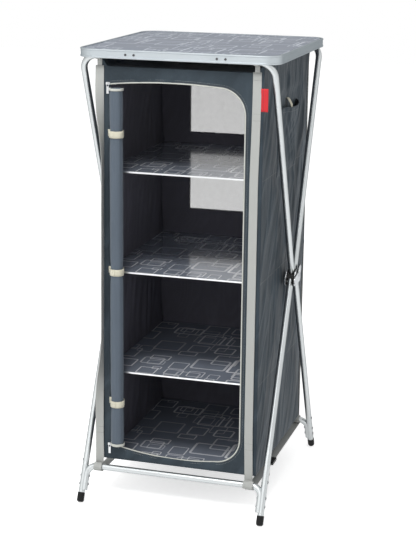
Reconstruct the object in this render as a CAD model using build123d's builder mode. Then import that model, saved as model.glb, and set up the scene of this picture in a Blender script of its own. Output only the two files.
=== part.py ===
from build123d import *
import os
from math import atan2, cos, degrees, sin, tan

os.makedirs("parts", exist_ok=True)

# A tall camping cupboard: four aluminium tube frames hinged in two knee hubs, a fabric
# cabinet with four compartments hung between them on webbing straps, and a lift-off table top.
# X runs across the front, +Y to the back, +Z up. The origin is on the floor, at the centre.
# On a side or a frame, -1 is left or front and +1 is right or rear.

# Table top
top_width = 600
top_depth = 620
total_height = 1380
corner_radius = 52
rim_height = 25
rim_wall = 1.6
rim_groove = 1.2
rim_bead = 4
rim_ledge = 8
rim_foot = 4.5
lip_stand = 1.5
board_thickness = 5
board_play = 0.2

# Tubes
tube_diameter = 19
tube_wall = 1.4
frame_play = 2
clip_stand = 3.2
upper_bend = 48
tail_length = 7

# Knee: the upper and lower tube lines of one frame meet here
knee_y = 17
knee_z = 699
upper_pivot_z = 691.5
lower_pivot_z = 671
foot_spread = 54.5

# Lower crossbars, whose ends run down the legs and are riveted to them
crossbar_z = 106
crossbar_end_z = 36
crossbar_bend = 30
crossbar_inboard = 8
crossbar_forward = 1.5
rivet_radius = 2.4
rivet_head_radius = 4
rivet_head_height = 1.3
rivet_levels = [76, 53]
single_rivet_level = 119

# Foot caps
cap_wall = 1.5
cap_length = 30
cap_round = 7
cap_floor = 6
cap_sink = 0.8
cap_play = 0.1

# Knee hubs
pin_radius = 3
pin_play = 0.07
pin_head_radius = 5.5
pin_head_height = 1.5
hub_cheek = 2.3
hub_slot_play = 0.7
hub_plate = 2
plate_margin = 13
body_margin = 12
socket_play = 0.9

# Lock levers
lever_thickness = 2.5
lever_pad_thickness = 2
lever_gap = 0.3
lever_stud_y = 0
lever_stud_z = 686
lever_grip_y = -53
lever_grip_z = 681
lever_nose_y = 14
lever_nose_z = 706
lever_radius = 10
lever_nose_radius = 8.5
lever_pad_margin = 1.5

# Clips under the table top, which snap over the upper crossbars
clip_x = 135
clip_width = 36
clip_wall = 1.8
clip_play = 0.3
clip_mouth = 11
clip_plate_height = 13
rim_rivet_pitch = 25
rim_rivet_drop = 13.5
rim_rivet_radius = 2
rim_rivet_head = 3.4
rim_rivet_head_height = 1.1

# Fabric cabinet
cabinet_left_gap = 46.5
cabinet_right_gap = 22.5
cabinet_bottom = 130
roof_gap = 22.2
fabric = 2
strap_gap = 0.3
fold_depth = 2.4

# Door opening in the front panel
door_left_margin = 26
door_right_margin = 53
door_corner = 75
door_bottom = 163
door_bottom_left = 181
door_bottom_low = 157
door_top_margin = 49
door_top_sag = 4
door_top_bow = 6

# Zip round the opening
zip_width = 7
zip_height = 1.6
zip_tail = 14
slider_length = 12
slider_width = 8
slider_base = 2.2
eye_radius = 2.4
eye_rise = 1.3
eye_width = 3.4
pull_length = 30
pull_width = 7
pull_thickness = 1.6
pull_wire = 0.9
pull_arm = 1.1
pull_window = 9

# Rolled-up door
roll_inset = 25
roll_radius = 20
roll_waist = 17.5
roll_bottom = 176
roll_top_margin = 62
roll_end_round = 4
roll_gap = 0.4
flap_thickness = 3
flap_hem = 8
tie_levels = [1138, 729, 319]
tie_height = 20
tie_thickness = 1.6
tie_gap = 0.35
trim_height = 9

# Shelves
shelf_levels = [1026, 724, 413]
shelf_thickness = 4
shelf_side_gap = 2
shelf_back_gap = 3
shelf_front_gap = 4
edge_strip = 2.5
edge_strip_overlap = 0.6
ledge_width = 14
ledge_thickness = 2

# Mesh windows in the back panel
window_width = 290
window_height = 200
window_bottoms = [1063, 809]
mesh_thickness = 0.8
window_hem = 12

# Webbing
webbing_width = 25
webbing = 1.6
webbing_gap = 0.3
low_loop_gap = 1
narrow_width = 14
narrow_drop = 30
buckle_y = -60
buckle_length = 46
buckle_wall = 4.2
buckle_height = 9

# Pocket on the right side
pocket_front = -110
pocket_back = 112
pocket_bottom = 1005
pocket_mouth = 1208
pocket_foot_depth = 5
pocket_mouth_depth = 20
pocket_wall = 1.6
snap_radius = 6
snap_height = 2.4
snap_y = -88
snap_z = 1221

# Blank tags
side_tag_width = 21
side_tag_height = 65
side_tag_bottom = 1222
tag_thickness = 0.8
strap_tag_length = 26
strap_tag_height = 24
strap_tag_y = -128

# Sizes worked out from the driving dimensions
tube_radius = tube_diameter / 2
tube_x = top_width / 2 - rim_foot - frame_play - tube_radius
cross_y = top_depth / 2 - rim_groove - rim_wall - clip_stand - tube_radius
foot_y = cross_y + foot_spread
cap_radius = tube_radius + cap_wall
board_top_z = total_height - lip_stand
board_under_z = board_top_z - board_thickness
upper_cross_z = board_under_z - board_play - clip_wall - clip_play - tube_radius
upper_angle = atan2(cross_y - knee_y, upper_cross_z - knee_z)
lower_angle = atan2(foot_y - knee_y, knee_z)
upper_pivot_t = (upper_pivot_z - knee_z) / cos(upper_angle)
lower_pivot_t = (lower_pivot_z - knee_z) / cos(lower_angle)
upper_pivot_y = knee_y + upper_pivot_t * sin(upper_angle)
lower_pivot_y = knee_y - lower_pivot_t * sin(lower_angle)
rivet_reach = rim_groove + rim_wall + clip_wall
ring_radius = tube_radius + webbing_gap
low_bar_y = knee_y + (knee_z - crossbar_z) * tan(lower_angle) + crossbar_forward / cos(lower_angle)
low_ring_radius = tube_radius + low_loop_gap
strap_face_y = cross_y - ring_radius
low_face_y = low_bar_y - low_ring_radius
cabinet_y = min(strap_face_y, low_face_y) - webbing - strap_gap
cabinet_left = -(tube_x - tube_radius - cabinet_left_gap)
cabinet_x = tube_x - tube_radius - cabinet_right_gap
cabinet_shift = (cabinet_left + cabinet_x) / 2
cabinet_width = cabinet_x - cabinet_left
cabinet_top = upper_cross_z - tube_radius - roof_gap
half_width = cabinet_width / 2
inner_half = half_width - fabric
inner_y = cabinet_y - fabric
door_left = cabinet_left + door_left_margin
door_right = cabinet_x - door_right_margin
door_top = cabinet_top - door_top_margin
door_top_left = door_top - door_top_sag
door_top_high = door_top + door_top_bow
roll_x = door_left + roll_inset
roll_top = cabinet_top - roll_top_margin
strap_x = cabinet_x - webbing_width / 2
narrow_x = strap_x - (webbing_width - narrow_width) / 2
buckle_width = webbing_width + 2 * webbing_gap + 2 * buckle_wall
hub_inner_x = tube_x - tube_radius - hub_slot_play - hub_cheek
hub_outer_x = tube_x + tube_radius + hub_slot_play + hub_cheek
pin_head_x = hub_outer_x + hub_plate + pin_head_height
lever_pad_x = pin_head_x + lever_gap
lever_x = lever_pad_x + lever_pad_thickness
print("upper angle", round(degrees(upper_angle), 3), "lower angle", round(degrees(lower_angle), 3))
print("upper pivot y, z", round(upper_pivot_y, 3), upper_pivot_z)
print("lower pivot y, z", round(lower_pivot_y, 3), lower_pivot_z)
print("upper crossbar z", round(upper_cross_z, 3), "cabinet half depth", round(cabinet_y, 3))


def save(part, name):
    """Label a finished piece and write it under its own name."""
    part.label = name
    export_step(part, f"parts/{name}.step")


def upper_plane(frame):
    """Plane of an upper frame: its origin is at the knee, its Y axis runs up the tubes."""
    return Plane(
        origin=(0, frame * knee_y, knee_z),
        x_dir=(1, 0, 0),
        z_dir=(0, -cos(upper_angle), frame * sin(upper_angle)),
    )


def lower_plane(frame):
    """Plane of a pair of lower legs: its origin is at the knee, its Y axis runs up the tubes."""
    return Plane(
        origin=(0, frame * knee_y, knee_z),
        x_dir=(1, 0, 0),
        z_dir=(0, -cos(lower_angle), -frame * sin(lower_angle)),
    )


def lower_y(frame, z):
    """Where the axis of a lower leg stands at the height z."""
    return frame * (knee_y + (knee_z - z) * tan(lower_angle))


def slab(side, near, far):
    """The start plane and the thickness of a flat piece between two distances from the middle."""
    start = near if side > 0 else -far
    return Plane.YZ.offset(start), far - near


def pivots():
    """The four tube pins of a hub, as (y, z): upper front, upper rear, lower front, lower rear."""
    return [
        (-upper_pivot_y, upper_pivot_z),
        (upper_pivot_y, upper_pivot_z),
        (-lower_pivot_y, lower_pivot_z),
        (lower_pivot_y, lower_pivot_z),
    ]


def side_name(side):
    return "right" if side > 0 else "left"


def frame_name(frame):
    return "rear" if frame > 0 else "front"


# Table top: a thin printed board held in the slot of an extruded aluminium edge

with BuildPart() as table_board:
    edge = rim_groove + rim_wall + board_play
    with BuildSketch(Plane.XY.offset(board_under_z)):
        RectangleRounded(top_width - 2 * edge, top_depth - 2 * edge, corner_radius - edge)
    extrude(amount=board_thickness)
save(table_board.part, "table_board")

with BuildPart() as table_rim:
    half_x = top_width / 2
    half_y = top_depth / 2
    side_length = top_depth - 2 * corner_radius
    back_length = top_width - 2 * corner_radius
    with BuildLine() as rim_path:
        run = Line((0, -half_y, total_height), (back_length / 2, -half_y, total_height))
        for length in (side_length, back_length, side_length, back_length / 2):
            corner = JernArc(run @ 1, run % 1, corner_radius, 90)
            run = Line(corner @ 1, (corner @ 1) + (corner % 1) * length)
    inner = -(rim_groove + rim_wall)
    slot_top = -lip_stand
    slot_bottom = -lip_stand - board_thickness - board_play
    ledge_bottom = slot_bottom - rim_wall
    with BuildSketch(Plane(origin=(0, -half_y, total_height), x_dir=(0, -1, 0), z_dir=(-1, 0, 0))):
        with BuildLine():
            Polyline(
                (-rim_ledge, 0),
                (-rim_bead / 3, 0),
                (0, -rim_bead / 3),
                (0, -rim_bead),
                (-rim_groove, -rim_bead - rim_groove),
                (-rim_groove, -rim_height + rim_bead + rim_groove),
                (0, -rim_height + rim_bead),
                (0, -rim_height),
                (-rim_foot, -rim_height),
                (-rim_foot, -rim_height + rim_wall),
                (inner, -rim_height + rim_wall),
                (inner, ledge_bottom),
                (-rim_ledge, ledge_bottom),
                (-rim_ledge, slot_bottom),
                (inner, slot_bottom),
                (inner, slot_top),
                (-rim_ledge, slot_top),
                close=True,
            )
        make_face()
    sweep(path=rim_path.wires()[0])
    for frame in (-1, 1):
        for side in (-1, 1):
            for step in (-0.5, 0.5):
                rivet_x = side * clip_x + step * rim_rivet_pitch
                hole_plane = Plane(
                    origin=(rivet_x, frame * half_y, total_height - rim_rivet_drop),
                    z_dir=(0, -frame, 0),
                )
                with BuildSketch(hole_plane):
                    Circle(rim_rivet_radius + cap_play)
                extrude(amount=rivet_reach, mode=Mode.SUBTRACT)
save(table_rim.part, "table_rim")

# Moulded clips inside the rim, open below, which snap over the upper crossbars
with BuildPart() as table_clips:
    wall_y = top_depth / 2 - rim_groove - rim_wall
    for frame in (-1, 1):
        for side in (-1, 1):
            start = side * clip_x - clip_width / 2
            with BuildSketch(Plane.YZ.offset(start)):
                plate_mid = frame * (wall_y - clip_wall / 2)
                with Locations((plate_mid, total_height - rim_rivet_drop - clip_wall)):
                    Rectangle(clip_wall, clip_plate_height)
                web_end = cross_y + tube_radius + clip_play + clip_wall / 2
                with Locations((frame * (wall_y + web_end) / 2, upper_cross_z)):
                    Rectangle(wall_y - web_end, 2 * clip_wall)
                with Locations((frame * cross_y, upper_cross_z)):
                    Circle(tube_radius + clip_play + clip_wall)
                    Circle(tube_radius + clip_play, mode=Mode.SUBTRACT)
                with Locations((frame * cross_y, upper_cross_z - tube_radius)):
                    Rectangle(clip_mouth, tube_radius, mode=Mode.SUBTRACT)
            extrude(amount=clip_width)
            for step in (-0.5, 0.5):
                rivet_x = side * clip_x + step * rim_rivet_pitch
                hole_plane = Plane(
                    origin=(rivet_x, frame * top_depth / 2, total_height - rim_rivet_drop),
                    z_dir=(0, -frame, 0),
                )
                with BuildSketch(hole_plane):
                    Circle(rim_rivet_radius + cap_play)
                extrude(amount=rivet_reach, mode=Mode.SUBTRACT)
save(table_clips.part, "table_clips")

with BuildPart() as rim_rivets:
    grip = rim_wall + clip_wall
    for frame in (-1, 1):
        for side in (-1, 1):
            for step in (-0.5, 0.5):
                rivet_x = side * clip_x + step * rim_rivet_pitch
                face_y = frame * (top_depth / 2 - rim_groove)
                shank_plane = Plane(
                    origin=(rivet_x, face_y, total_height - rim_rivet_drop),
                    z_dir=(0, -frame, 0),
                )
                with BuildSketch(shank_plane):
                    Circle(rim_rivet_radius)
                extrude(amount=grip)
                with BuildSketch(shank_plane):
                    Circle(rim_rivet_head)
                extrude(amount=-rim_rivet_head_height)
save(rim_rivets.part, "rim_rivets")

# Upper frames: one bent tube each, an upside-down U whose crossbar carries the table top
for frame in (-1, 1):
    with BuildPart() as upper_frame:
        plane = upper_plane(frame)
        tail_t = upper_pivot_t - tail_length
        cross_t = (upper_cross_z - knee_z) / cos(upper_angle)
        with BuildLine(plane) as frame_path:
            FilletPolyline(
                (-tube_x, tail_t),
                (-tube_x, cross_t),
                (tube_x, cross_t),
                (tube_x, tail_t),
                radius=upper_bend,
            )
        tube_path = frame_path.wires()[0]
        with BuildSketch(Plane(origin=tube_path @ 0, z_dir=tube_path % 0)):
            Circle(tube_radius)
            Circle(tube_radius - tube_wall, mode=Mode.SUBTRACT)
        sweep(path=tube_path)
        for side in (-1, 1):
            start, thickness = slab(side, tube_x - tube_diameter, tube_x + tube_diameter)
            with BuildSketch(start):
                with Locations((frame * upper_pivot_y, upper_pivot_z)):
                    Circle(pin_radius + pin_play)
            extrude(amount=thickness, mode=Mode.SUBTRACT)
    save(upper_frame.part, f"upper_{frame_name(frame)}_frame")

# Lower legs: straight tubes from the hub pins down into the foot caps
foot_t = -knee_z / cos(lower_angle)
drop = cap_round * cos(lower_angle) - (cap_radius - cap_round) * sin(lower_angle) - cap_round
cap_bottom_t = foot_t + (-cap_sink - drop) / cos(lower_angle)
leg_end_t = cap_bottom_t + cap_floor
for frame in (-1, 1):
    for side in (-1, 1):
        with BuildPart() as leg:
            plane = lower_plane(frame)
            start = plane.from_local_coords((side * tube_x, leg_end_t, 0))
            with BuildSketch(Plane(origin=start, z_dir=plane.y_dir)):
                Circle(tube_radius)
                Circle(tube_radius - tube_wall, mode=Mode.SUBTRACT)
            extrude(amount=lower_pivot_t + tail_length - leg_end_t)
            pin_start, thickness = slab(side, tube_x - tube_diameter, tube_x + tube_diameter)
            with BuildSketch(pin_start):
                with Locations((frame * lower_pivot_y, lower_pivot_z)):
                    Circle(pin_radius + pin_play)
            extrude(amount=thickness, mode=Mode.SUBTRACT)
            with BuildSketch(pin_start):
                for level in rivet_levels:
                    with Locations((lower_y(frame, level), level)):
                        Circle(rivet_radius + pin_play)
            extrude(amount=thickness, mode=Mode.SUBTRACT)
            single_start, thickness = slab(side, tube_x, tube_x + tube_diameter)
            with BuildSketch(single_start):
                with Locations((lower_y(frame, single_rivet_level), single_rivet_level)):
                    Circle(rivet_radius + pin_play)
            extrude(amount=thickness, mode=Mode.SUBTRACT)
        save(leg.part, f"lower_{frame_name(frame)}_leg_{side_name(side)}")

# Lower crossbars: the bent ends are pressed hollow round the legs and riveted to them
for frame in (-1, 1):
    with BuildPart() as crossbar:
        plane = lower_plane(frame).offset(-frame * crossbar_forward)
        end_t = (crossbar_end_z - knee_z) / cos(lower_angle)
        bar_t = (crossbar_z - knee_z) / cos(lower_angle) - crossbar_forward * tan(lower_angle)
        end_x = tube_x - crossbar_inboard
        with BuildLine(plane) as bar_path:
            FilletPolyline(
                (-end_x, end_t),
                (-end_x, bar_t),
                (end_x, bar_t),
                (end_x, end_t),
                radius=crossbar_bend,
            )
        tube_path = bar_path.wires()[0]
        with BuildSketch(Plane(origin=tube_path @ 0, z_dir=tube_path % 0)):
            Circle(tube_radius)
            Circle(tube_radius - tube_wall, mode=Mode.SUBTRACT)
        sweep(path=tube_path)
        leg_plane = lower_plane(frame)
        for side in (-1, 1):
            start = leg_plane.from_local_coords((side * tube_x, leg_end_t, 0))
            with BuildSketch(Plane(origin=start, z_dir=leg_plane.y_dir)):
                Circle(tube_radius + cap_play)
            extrude(amount=-leg_end_t, mode=Mode.SUBTRACT)
            rivet_start, thickness = slab(side, tube_x - 2 * tube_diameter, tube_x)
            with BuildSketch(rivet_start):
                for level in rivet_levels:
                    with Locations((lower_y(frame, level), level)):
                        Circle(rivet_radius + pin_play)
            extrude(amount=thickness, mode=Mode.SUBTRACT)
    middle = tube_path @ 0.5
    print(frame_name(frame), "crossbar centre y, z", round(middle.Y, 3), round(middle.Z, 3))
    save(crossbar.part, f"lower_{frame_name(frame)}_crossbar")

# Rivets through legs and crossbar ends, and one in each leg beside the crossbar
for frame in (-1, 1):
    with BuildPart() as leg_rivets:
        far = tube_x + tube_radius
        near = tube_x - crossbar_inboard - tube_radius
        for side in (-1, 1):
            for level in rivet_levels:
                spot = (lower_y(frame, level), level)
                start, thickness = slab(side, near, far)
                with BuildSketch(start):
                    with Locations(spot):
                        Circle(rivet_radius)
                extrude(amount=thickness)
                for head_near in (near - rivet_head_height, far):
                    start, thickness = slab(side, head_near, head_near + rivet_head_height)
                    with BuildSketch(start):
                        with Locations(spot):
                            Circle(rivet_head_radius)
                    extrude(amount=thickness)
            spot = (lower_y(frame, single_rivet_level), single_rivet_level)
            start, thickness = slab(side, far - tube_wall, far)
            with BuildSketch(start):
                with Locations(spot):
                    Circle(rivet_radius)
            extrude(amount=thickness)
            start, thickness = slab(side, far, far + rivet_head_height)
            with BuildSketch(start):
                with Locations(spot):
                    Circle(rivet_head_radius)
            extrude(amount=thickness)
    save(leg_rivets.part, f"{frame_name(frame)}_leg_rivets")

# Foot caps: rubber cups with a domed end, worn flat where they stand
for frame in (-1, 1):
    with BuildPart() as foot_caps:
        plane = lower_plane(frame)
        bottoms = []
        for side in (-1, 1):
            bottom = plane.from_local_coords((side * tube_x, cap_bottom_t, 0))
            bottoms.append(Plane(origin=bottom, z_dir=plane.y_dir))
            with BuildSketch(bottoms[-1]):
                Circle(cap_radius)
            extrude(amount=cap_length)
        ends = foot_caps.edges().filter_by(GeomType.CIRCLE).sort_by(Axis.Z)
        fillet(ends[:2], radius=cap_round)
        for bottom in bottoms:
            with BuildSketch(bottom.offset(cap_floor)):
                Circle(tube_radius + cap_play)
            extrude(amount=cap_length, mode=Mode.SUBTRACT)
        split(bisect_by=Plane.XY, keep=Keep.TOP)
    save(foot_caps.part, f"{frame_name(frame)}_foot_caps")

# Knee hubs: a moulded body between two steel plates, with a pin for each tube
for side in (-1, 1):
    name = side_name(side)
    with BuildPart() as hub_body:
        start, thickness = slab(side, hub_inner_x, hub_outer_x)
        with BuildSketch(start):
            with Locations(*pivots()):
                Circle(body_margin)
            make_hull()
        extrude(amount=thickness)
        slot_half = tube_radius + hub_slot_play
        slot_start, slot_width = slab(side, tube_x - slot_half, tube_x + slot_half)
        reach = 3 * tube_diameter
        for frame in (-1, 1):
            swings = [
                (upper_pivot_y, upper_pivot_z, upper_angle, 1),
                (lower_pivot_y, lower_pivot_z, lower_angle, -1),
            ]
            for pivot_y, pivot_z, angle, upward in swings:
                with BuildSketch(slot_start):
                    with Locations((frame * pivot_y, pivot_z)):
                        Circle(tail_length + tube_radius / 2 + socket_play)
                    rest = (
                        frame * (pivot_y + reach * sin(angle)),
                        pivot_z + upward * reach * cos(angle),
                    )
                    closed = (frame * pivot_y, pivot_z + upward * reach)
                    with Locations(rest, closed):
                        Circle(tube_radius + socket_play)
                    make_hull()
                extrude(amount=slot_width, mode=Mode.SUBTRACT)
        with BuildSketch(start):
            with Locations(*pivots()):
                Circle(pin_radius + pin_play)
        extrude(amount=thickness, mode=Mode.SUBTRACT)
    save(hub_body.part, f"hub_body_{name}")

    for layer, near in (("inner", hub_inner_x - hub_plate), ("outer", hub_outer_x)):
        with BuildPart() as hub_plate_part:
            start, thickness = slab(side, near, near + hub_plate)
            with BuildSketch(start):
                with Locations(*pivots()):
                    Circle(plate_margin)
                make_hull()
                with Locations(*pivots()):
                    Circle(pin_radius + pin_play, mode=Mode.SUBTRACT)
                if layer == "outer":
                    with Locations((lever_stud_y, lever_stud_z)):
                        Circle(pin_radius + pin_play, mode=Mode.SUBTRACT)
            extrude(amount=thickness)
        save(hub_plate_part.part, f"hub_plate_{layer}_{name}")

    with BuildPart() as hub_pins:
        inner_face = hub_inner_x - hub_plate
        outer_face = hub_outer_x + hub_plate
        for spot in pivots():
            spans = [
                (inner_face, outer_face, pin_radius),
                (inner_face - pin_head_height, inner_face, pin_head_radius),
                (outer_face, pin_head_x, pin_head_radius),
            ]
            for near, far, radius in spans:
                start, thickness = slab(side, near, far)
                with BuildSketch(start):
                    with Locations(spot):
                        Circle(radius)
                extrude(amount=thickness)
        stud_end = lever_x + lever_thickness
        spans = [
            (hub_outer_x, stud_end + lever_gap, pin_radius),
            (outer_face, lever_pad_x - lever_gap, pin_head_radius),
            (stud_end + lever_gap, stud_end + lever_gap + pin_head_height, pin_head_radius),
        ]
        for near, far, radius in spans:
            start, thickness = slab(side, near, far)
            with BuildSketch(start):
                with Locations((lever_stud_y, lever_stud_z)):
                    Circle(radius)
            extrude(amount=thickness)
    save(hub_pins.part, f"hub_pins_{name}")

    # Lock lever: a bent flat lever with a moulded pad behind it, turning on a stud
    lever_outline = [
        (lever_grip_y, lever_grip_z, lever_radius),
        (lever_stud_y, lever_stud_z, lever_radius + lever_pad_margin),
        (lever_nose_y, lever_nose_z, lever_nose_radius),
    ]
    layers = [
        ("lock_lever", lever_x, lever_thickness, 0),
        ("lever_pad", lever_pad_x, lever_pad_thickness, lever_pad_margin),
    ]
    for layer, near, depth, margin in layers:
        with BuildPart() as lever:
            start, thickness = slab(side, near, near + depth)
            for first, last in ((0, 1), (1, 2)):
                with BuildSketch(start):
                    for centre_y, centre_z, radius in lever_outline[first : last + 1]:
                        with Locations((centre_y, centre_z)):
                            Circle(radius + margin)
                    make_hull()
                extrude(amount=thickness)
            with BuildSketch(start):
                with Locations((lever_stud_y, lever_stud_z)):
                    Circle(pin_radius + pin_play)
            extrude(amount=thickness, mode=Mode.SUBTRACT)
        save(lever.part, f"{layer}_{name}")

# Cabinet: six fabric panels sewn along their edges
panel_height = cabinet_top - cabinet_bottom
panel_mid_z = (cabinet_top + cabinet_bottom) / 2

# The door opening is rounded on the zip side and sags a little at the top and bottom
with BuildSketch() as door_face:
    with BuildLine():
        bend = door_corner * (1 - cos(atan2(1, 1)))
        corner_x = door_right - door_corner
        middle_x = (door_left + corner_x) / 2
        ThreePointArc(
            (door_left, door_bottom_left), (middle_x, door_bottom_low), (corner_x, door_bottom)
        )
        ThreePointArc(
            (corner_x, door_bottom),
            (door_right - bend, door_bottom + bend),
            (door_right, door_bottom + door_corner),
        )
        Line((door_right, door_bottom + door_corner), (door_right, door_top - door_corner))
        ThreePointArc(
            (door_right, door_top - door_corner),
            (door_right - bend, door_top - bend),
            (corner_x, door_top),
        )
        ThreePointArc(
            (corner_x, door_top), (middle_x, door_top_high), (door_left, door_top_left)
        )
        Line((door_left, door_top_left), (door_left, door_bottom_left))
    make_face()

front_plane = Plane(origin=(0, -cabinet_y, 0), x_dir=(1, 0, 0), z_dir=(0, -1, 0))

with BuildPart() as front_panel:
    with BuildSketch(front_plane):
        with Locations((cabinet_shift, panel_mid_z)):
            Rectangle(cabinet_width, panel_height)
        add(door_face.sketch, mode=Mode.SUBTRACT)
    extrude(amount=-fabric)
save(front_panel.part, "front_panel")

zip_ends = {"top": door_top_left + zip_width / 2, "bottom": door_bottom_left - zip_width / 2}
with BuildPart() as zip_track:
    with BuildSketch(front_plane):
        add(door_face.sketch)
        offset(amount=zip_width, kind=Kind.ARC)
        add(door_face.sketch, mode=Mode.SUBTRACT)
        with Locations((door_left - zip_tail, panel_mid_z)):
            Rectangle(2 * zip_tail, panel_height, mode=Mode.SUBTRACT)
        for level in zip_ends.values():
            with Locations((door_left - zip_tail / 2, level)):
                Rectangle(zip_tail, zip_width)
    extrude(amount=zip_height)
save(zip_track.part, "zip_track")

with BuildPart() as back_panel:
    with BuildSketch(Plane.XZ.offset(-inner_y)):
        with Locations((cabinet_shift, panel_mid_z)):
            Rectangle(cabinet_width, panel_height)
        for bottom in window_bottoms:
            with Locations((cabinet_shift, bottom + window_height / 2)):
                Rectangle(window_width, window_height, mode=Mode.SUBTRACT)
    extrude(amount=-fabric)
save(back_panel.part, "back_panel")

with BuildPart() as mesh_windows:
    for bottom in window_bottoms:
        with BuildSketch(Plane.XZ.offset(-inner_y)):
            with Locations((cabinet_shift, bottom + window_height / 2)):
                Rectangle(window_width + 2 * window_hem, window_height + 2 * window_hem)
        extrude(amount=mesh_thickness)
save(mesh_windows.part, "mesh_windows")

# The side panels hang in soft upright folds in front of and behind the pocket
for side in (-1, 1):
    outer_face = cabinet_shift + side * half_width
    inner_face = cabinet_shift + side * inner_half
    with BuildPart() as side_panel:
        with BuildSketch(Plane.XY.offset(cabinet_bottom)):
            with BuildLine():
                front_third = (pocket_front - strap_gap + inner_y) / 2
                rear_third = (inner_y - pocket_back - strap_gap) / 2
                folds = [
                    -inner_y,
                    -inner_y + front_third,
                    pocket_front - strap_gap,
                    pocket_back + strap_gap,
                    inner_y - rear_third,
                    inner_y,
                ]
                for number, (first, last) in enumerate(zip(folds, folds[1:])):
                    start = (outer_face, first)
                    end = (outer_face, last)
                    if number == 2:
                        Line(start, end)
                    else:
                        crest = (outer_face + side * fold_depth, (first + last) / 2)
                        ThreePointArc(start, crest, end)
                Line((outer_face, inner_y), (inner_face, inner_y))
                Line((inner_face, inner_y), (inner_face, -inner_y))
                Line((inner_face, -inner_y), (outer_face, -inner_y))
            make_face()
        extrude(amount=panel_height)
    save(side_panel.part, f"side_panel_{side_name(side)}")

for name, bottom in (("roof_panel", cabinet_top - fabric), ("bottom_panel", cabinet_bottom)):
    with BuildPart() as level_panel:
        with BuildSketch(Plane.XY.offset(bottom)):
            with Locations((cabinet_shift, 0)):
                Rectangle(2 * inner_half, 2 * inner_y)
        extrude(amount=fabric)
    save(level_panel.part, name)

# Shelf boards on sewn ledges, each with a bright strip along its front edge
board_front = -inner_y + shelf_front_gap
board_back = inner_y - shelf_back_gap
board_width = 2 * (inner_half - shelf_side_gap)
floor_top = cabinet_bottom + fabric + shelf_thickness
board_tops = {
    "shelf_board_upper": shelf_levels[0],
    "shelf_board_middle": shelf_levels[1],
    "shelf_board_lower": shelf_levels[2],
    "floor_board": floor_top,
}
for name, top in board_tops.items():
    with BuildPart() as shelf:
        with BuildSketch(Plane.XY.offset(top - shelf_thickness)):
            with Locations((cabinet_shift, (board_front + board_back) / 2)):
                Rectangle(board_width, board_back - board_front)
        extrude(amount=shelf_thickness)
    save(shelf.part, name)

with BuildPart() as shelf_edge_strips:
    for top in board_tops.values():
        strip_height = shelf_thickness + edge_strip_overlap
        with BuildSketch(Plane.XY.offset(top - shelf_thickness)):
            with Locations((cabinet_shift, board_front - edge_strip / 2)):
                Rectangle(board_width, edge_strip)
        extrude(amount=strip_height)
save(shelf_edge_strips.part, "shelf_edge_strips")

with BuildPart() as shelf_ledges:
    for level in shelf_levels:
        for side in (-1, 1):
            ledge_top = level - shelf_thickness
            with BuildSketch(Plane.XY.offset(ledge_top - ledge_thickness)):
                ledge_x = cabinet_shift + side * (inner_half - ledge_width / 2)
                with Locations((ledge_x, (board_front + board_back) / 2)):
                    Rectangle(ledge_width, board_back - board_front)
            extrude(amount=ledge_thickness)
save(shelf_ledges.part, "shelf_ledges")

# Door, rolled up beside the opening and drawn in by three ties
roll_y = -(cabinet_y + roll_gap + roll_radius)
with BuildPart() as door_roll:
    with BuildSketch(Plane(origin=(roll_x, roll_y, 0), x_dir=(1, 0, 0), z_dir=(0, -1, 0))):
        with BuildLine():
            Line((0, roll_bottom), (roll_radius - roll_end_round, roll_bottom))
            RadiusArc(
                (roll_radius - roll_end_round, roll_bottom),
                (roll_radius, roll_bottom + roll_end_round),
                -roll_end_round,
            )
            below = roll_bottom + roll_end_round
            for level in sorted(tie_levels):
                neck = level - tie_height / 2
                shoulder = level + tie_height / 2
                Line((roll_radius, below), (roll_radius, neck - tie_height))
                Line((roll_radius, neck - tie_height), (roll_waist, neck))
                Line((roll_waist, neck), (roll_waist, shoulder))
                Line((roll_waist, shoulder), (roll_radius, shoulder + tie_height))
                below = shoulder + tie_height
            Line((roll_radius, below), (roll_radius, roll_top - roll_end_round))
            RadiusArc(
                (roll_radius, roll_top - roll_end_round),
                (roll_radius - roll_end_round, roll_top),
                -roll_end_round,
            )
            Line((roll_radius - roll_end_round, roll_top), (0, roll_top))
            Line((0, roll_top), (0, roll_bottom))
        make_face()
    revolve(axis=Axis((roll_x, roll_y, 0), (0, 0, 1)))
    flap_left = door_left - flap_hem
    with BuildSketch(Plane(origin=(0, -cabinet_y, 0), x_dir=(1, 0, 0), z_dir=(0, -1, 0))):
        with Locations(((flap_left + roll_x) / 2, (roll_bottom + roll_top) / 2)):
            Rectangle(roll_x - flap_left, roll_top - roll_bottom - 4 * roll_end_round)
        for level in tie_levels:
            with Locations((flap_left, level)):
                Rectangle(2 * (roll_x - flap_left), tie_height + 2 * roll_end_round, mode=Mode.SUBTRACT)
    extrude(amount=flap_thickness)
save(door_roll.part, "door_roll")

# Trim bands round the two ends of the rolled door
with BuildPart() as door_trim:
    for bottom in (roll_bottom + roll_end_round, roll_top - roll_end_round - trim_height):
        with BuildSketch(Plane.XY.offset(bottom)):
            with Locations((roll_x, roll_y - roll_gap / 2)):
                Circle(roll_radius + tie_gap + tie_thickness)
                Circle(roll_radius + tie_gap, mode=Mode.SUBTRACT)
                with Locations((0, roll_radius)):
                    Rectangle(2 * roll_radius, roll_radius, mode=Mode.SUBTRACT)
        extrude(amount=trim_height)
save(door_trim.part, "door_trim")

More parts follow.
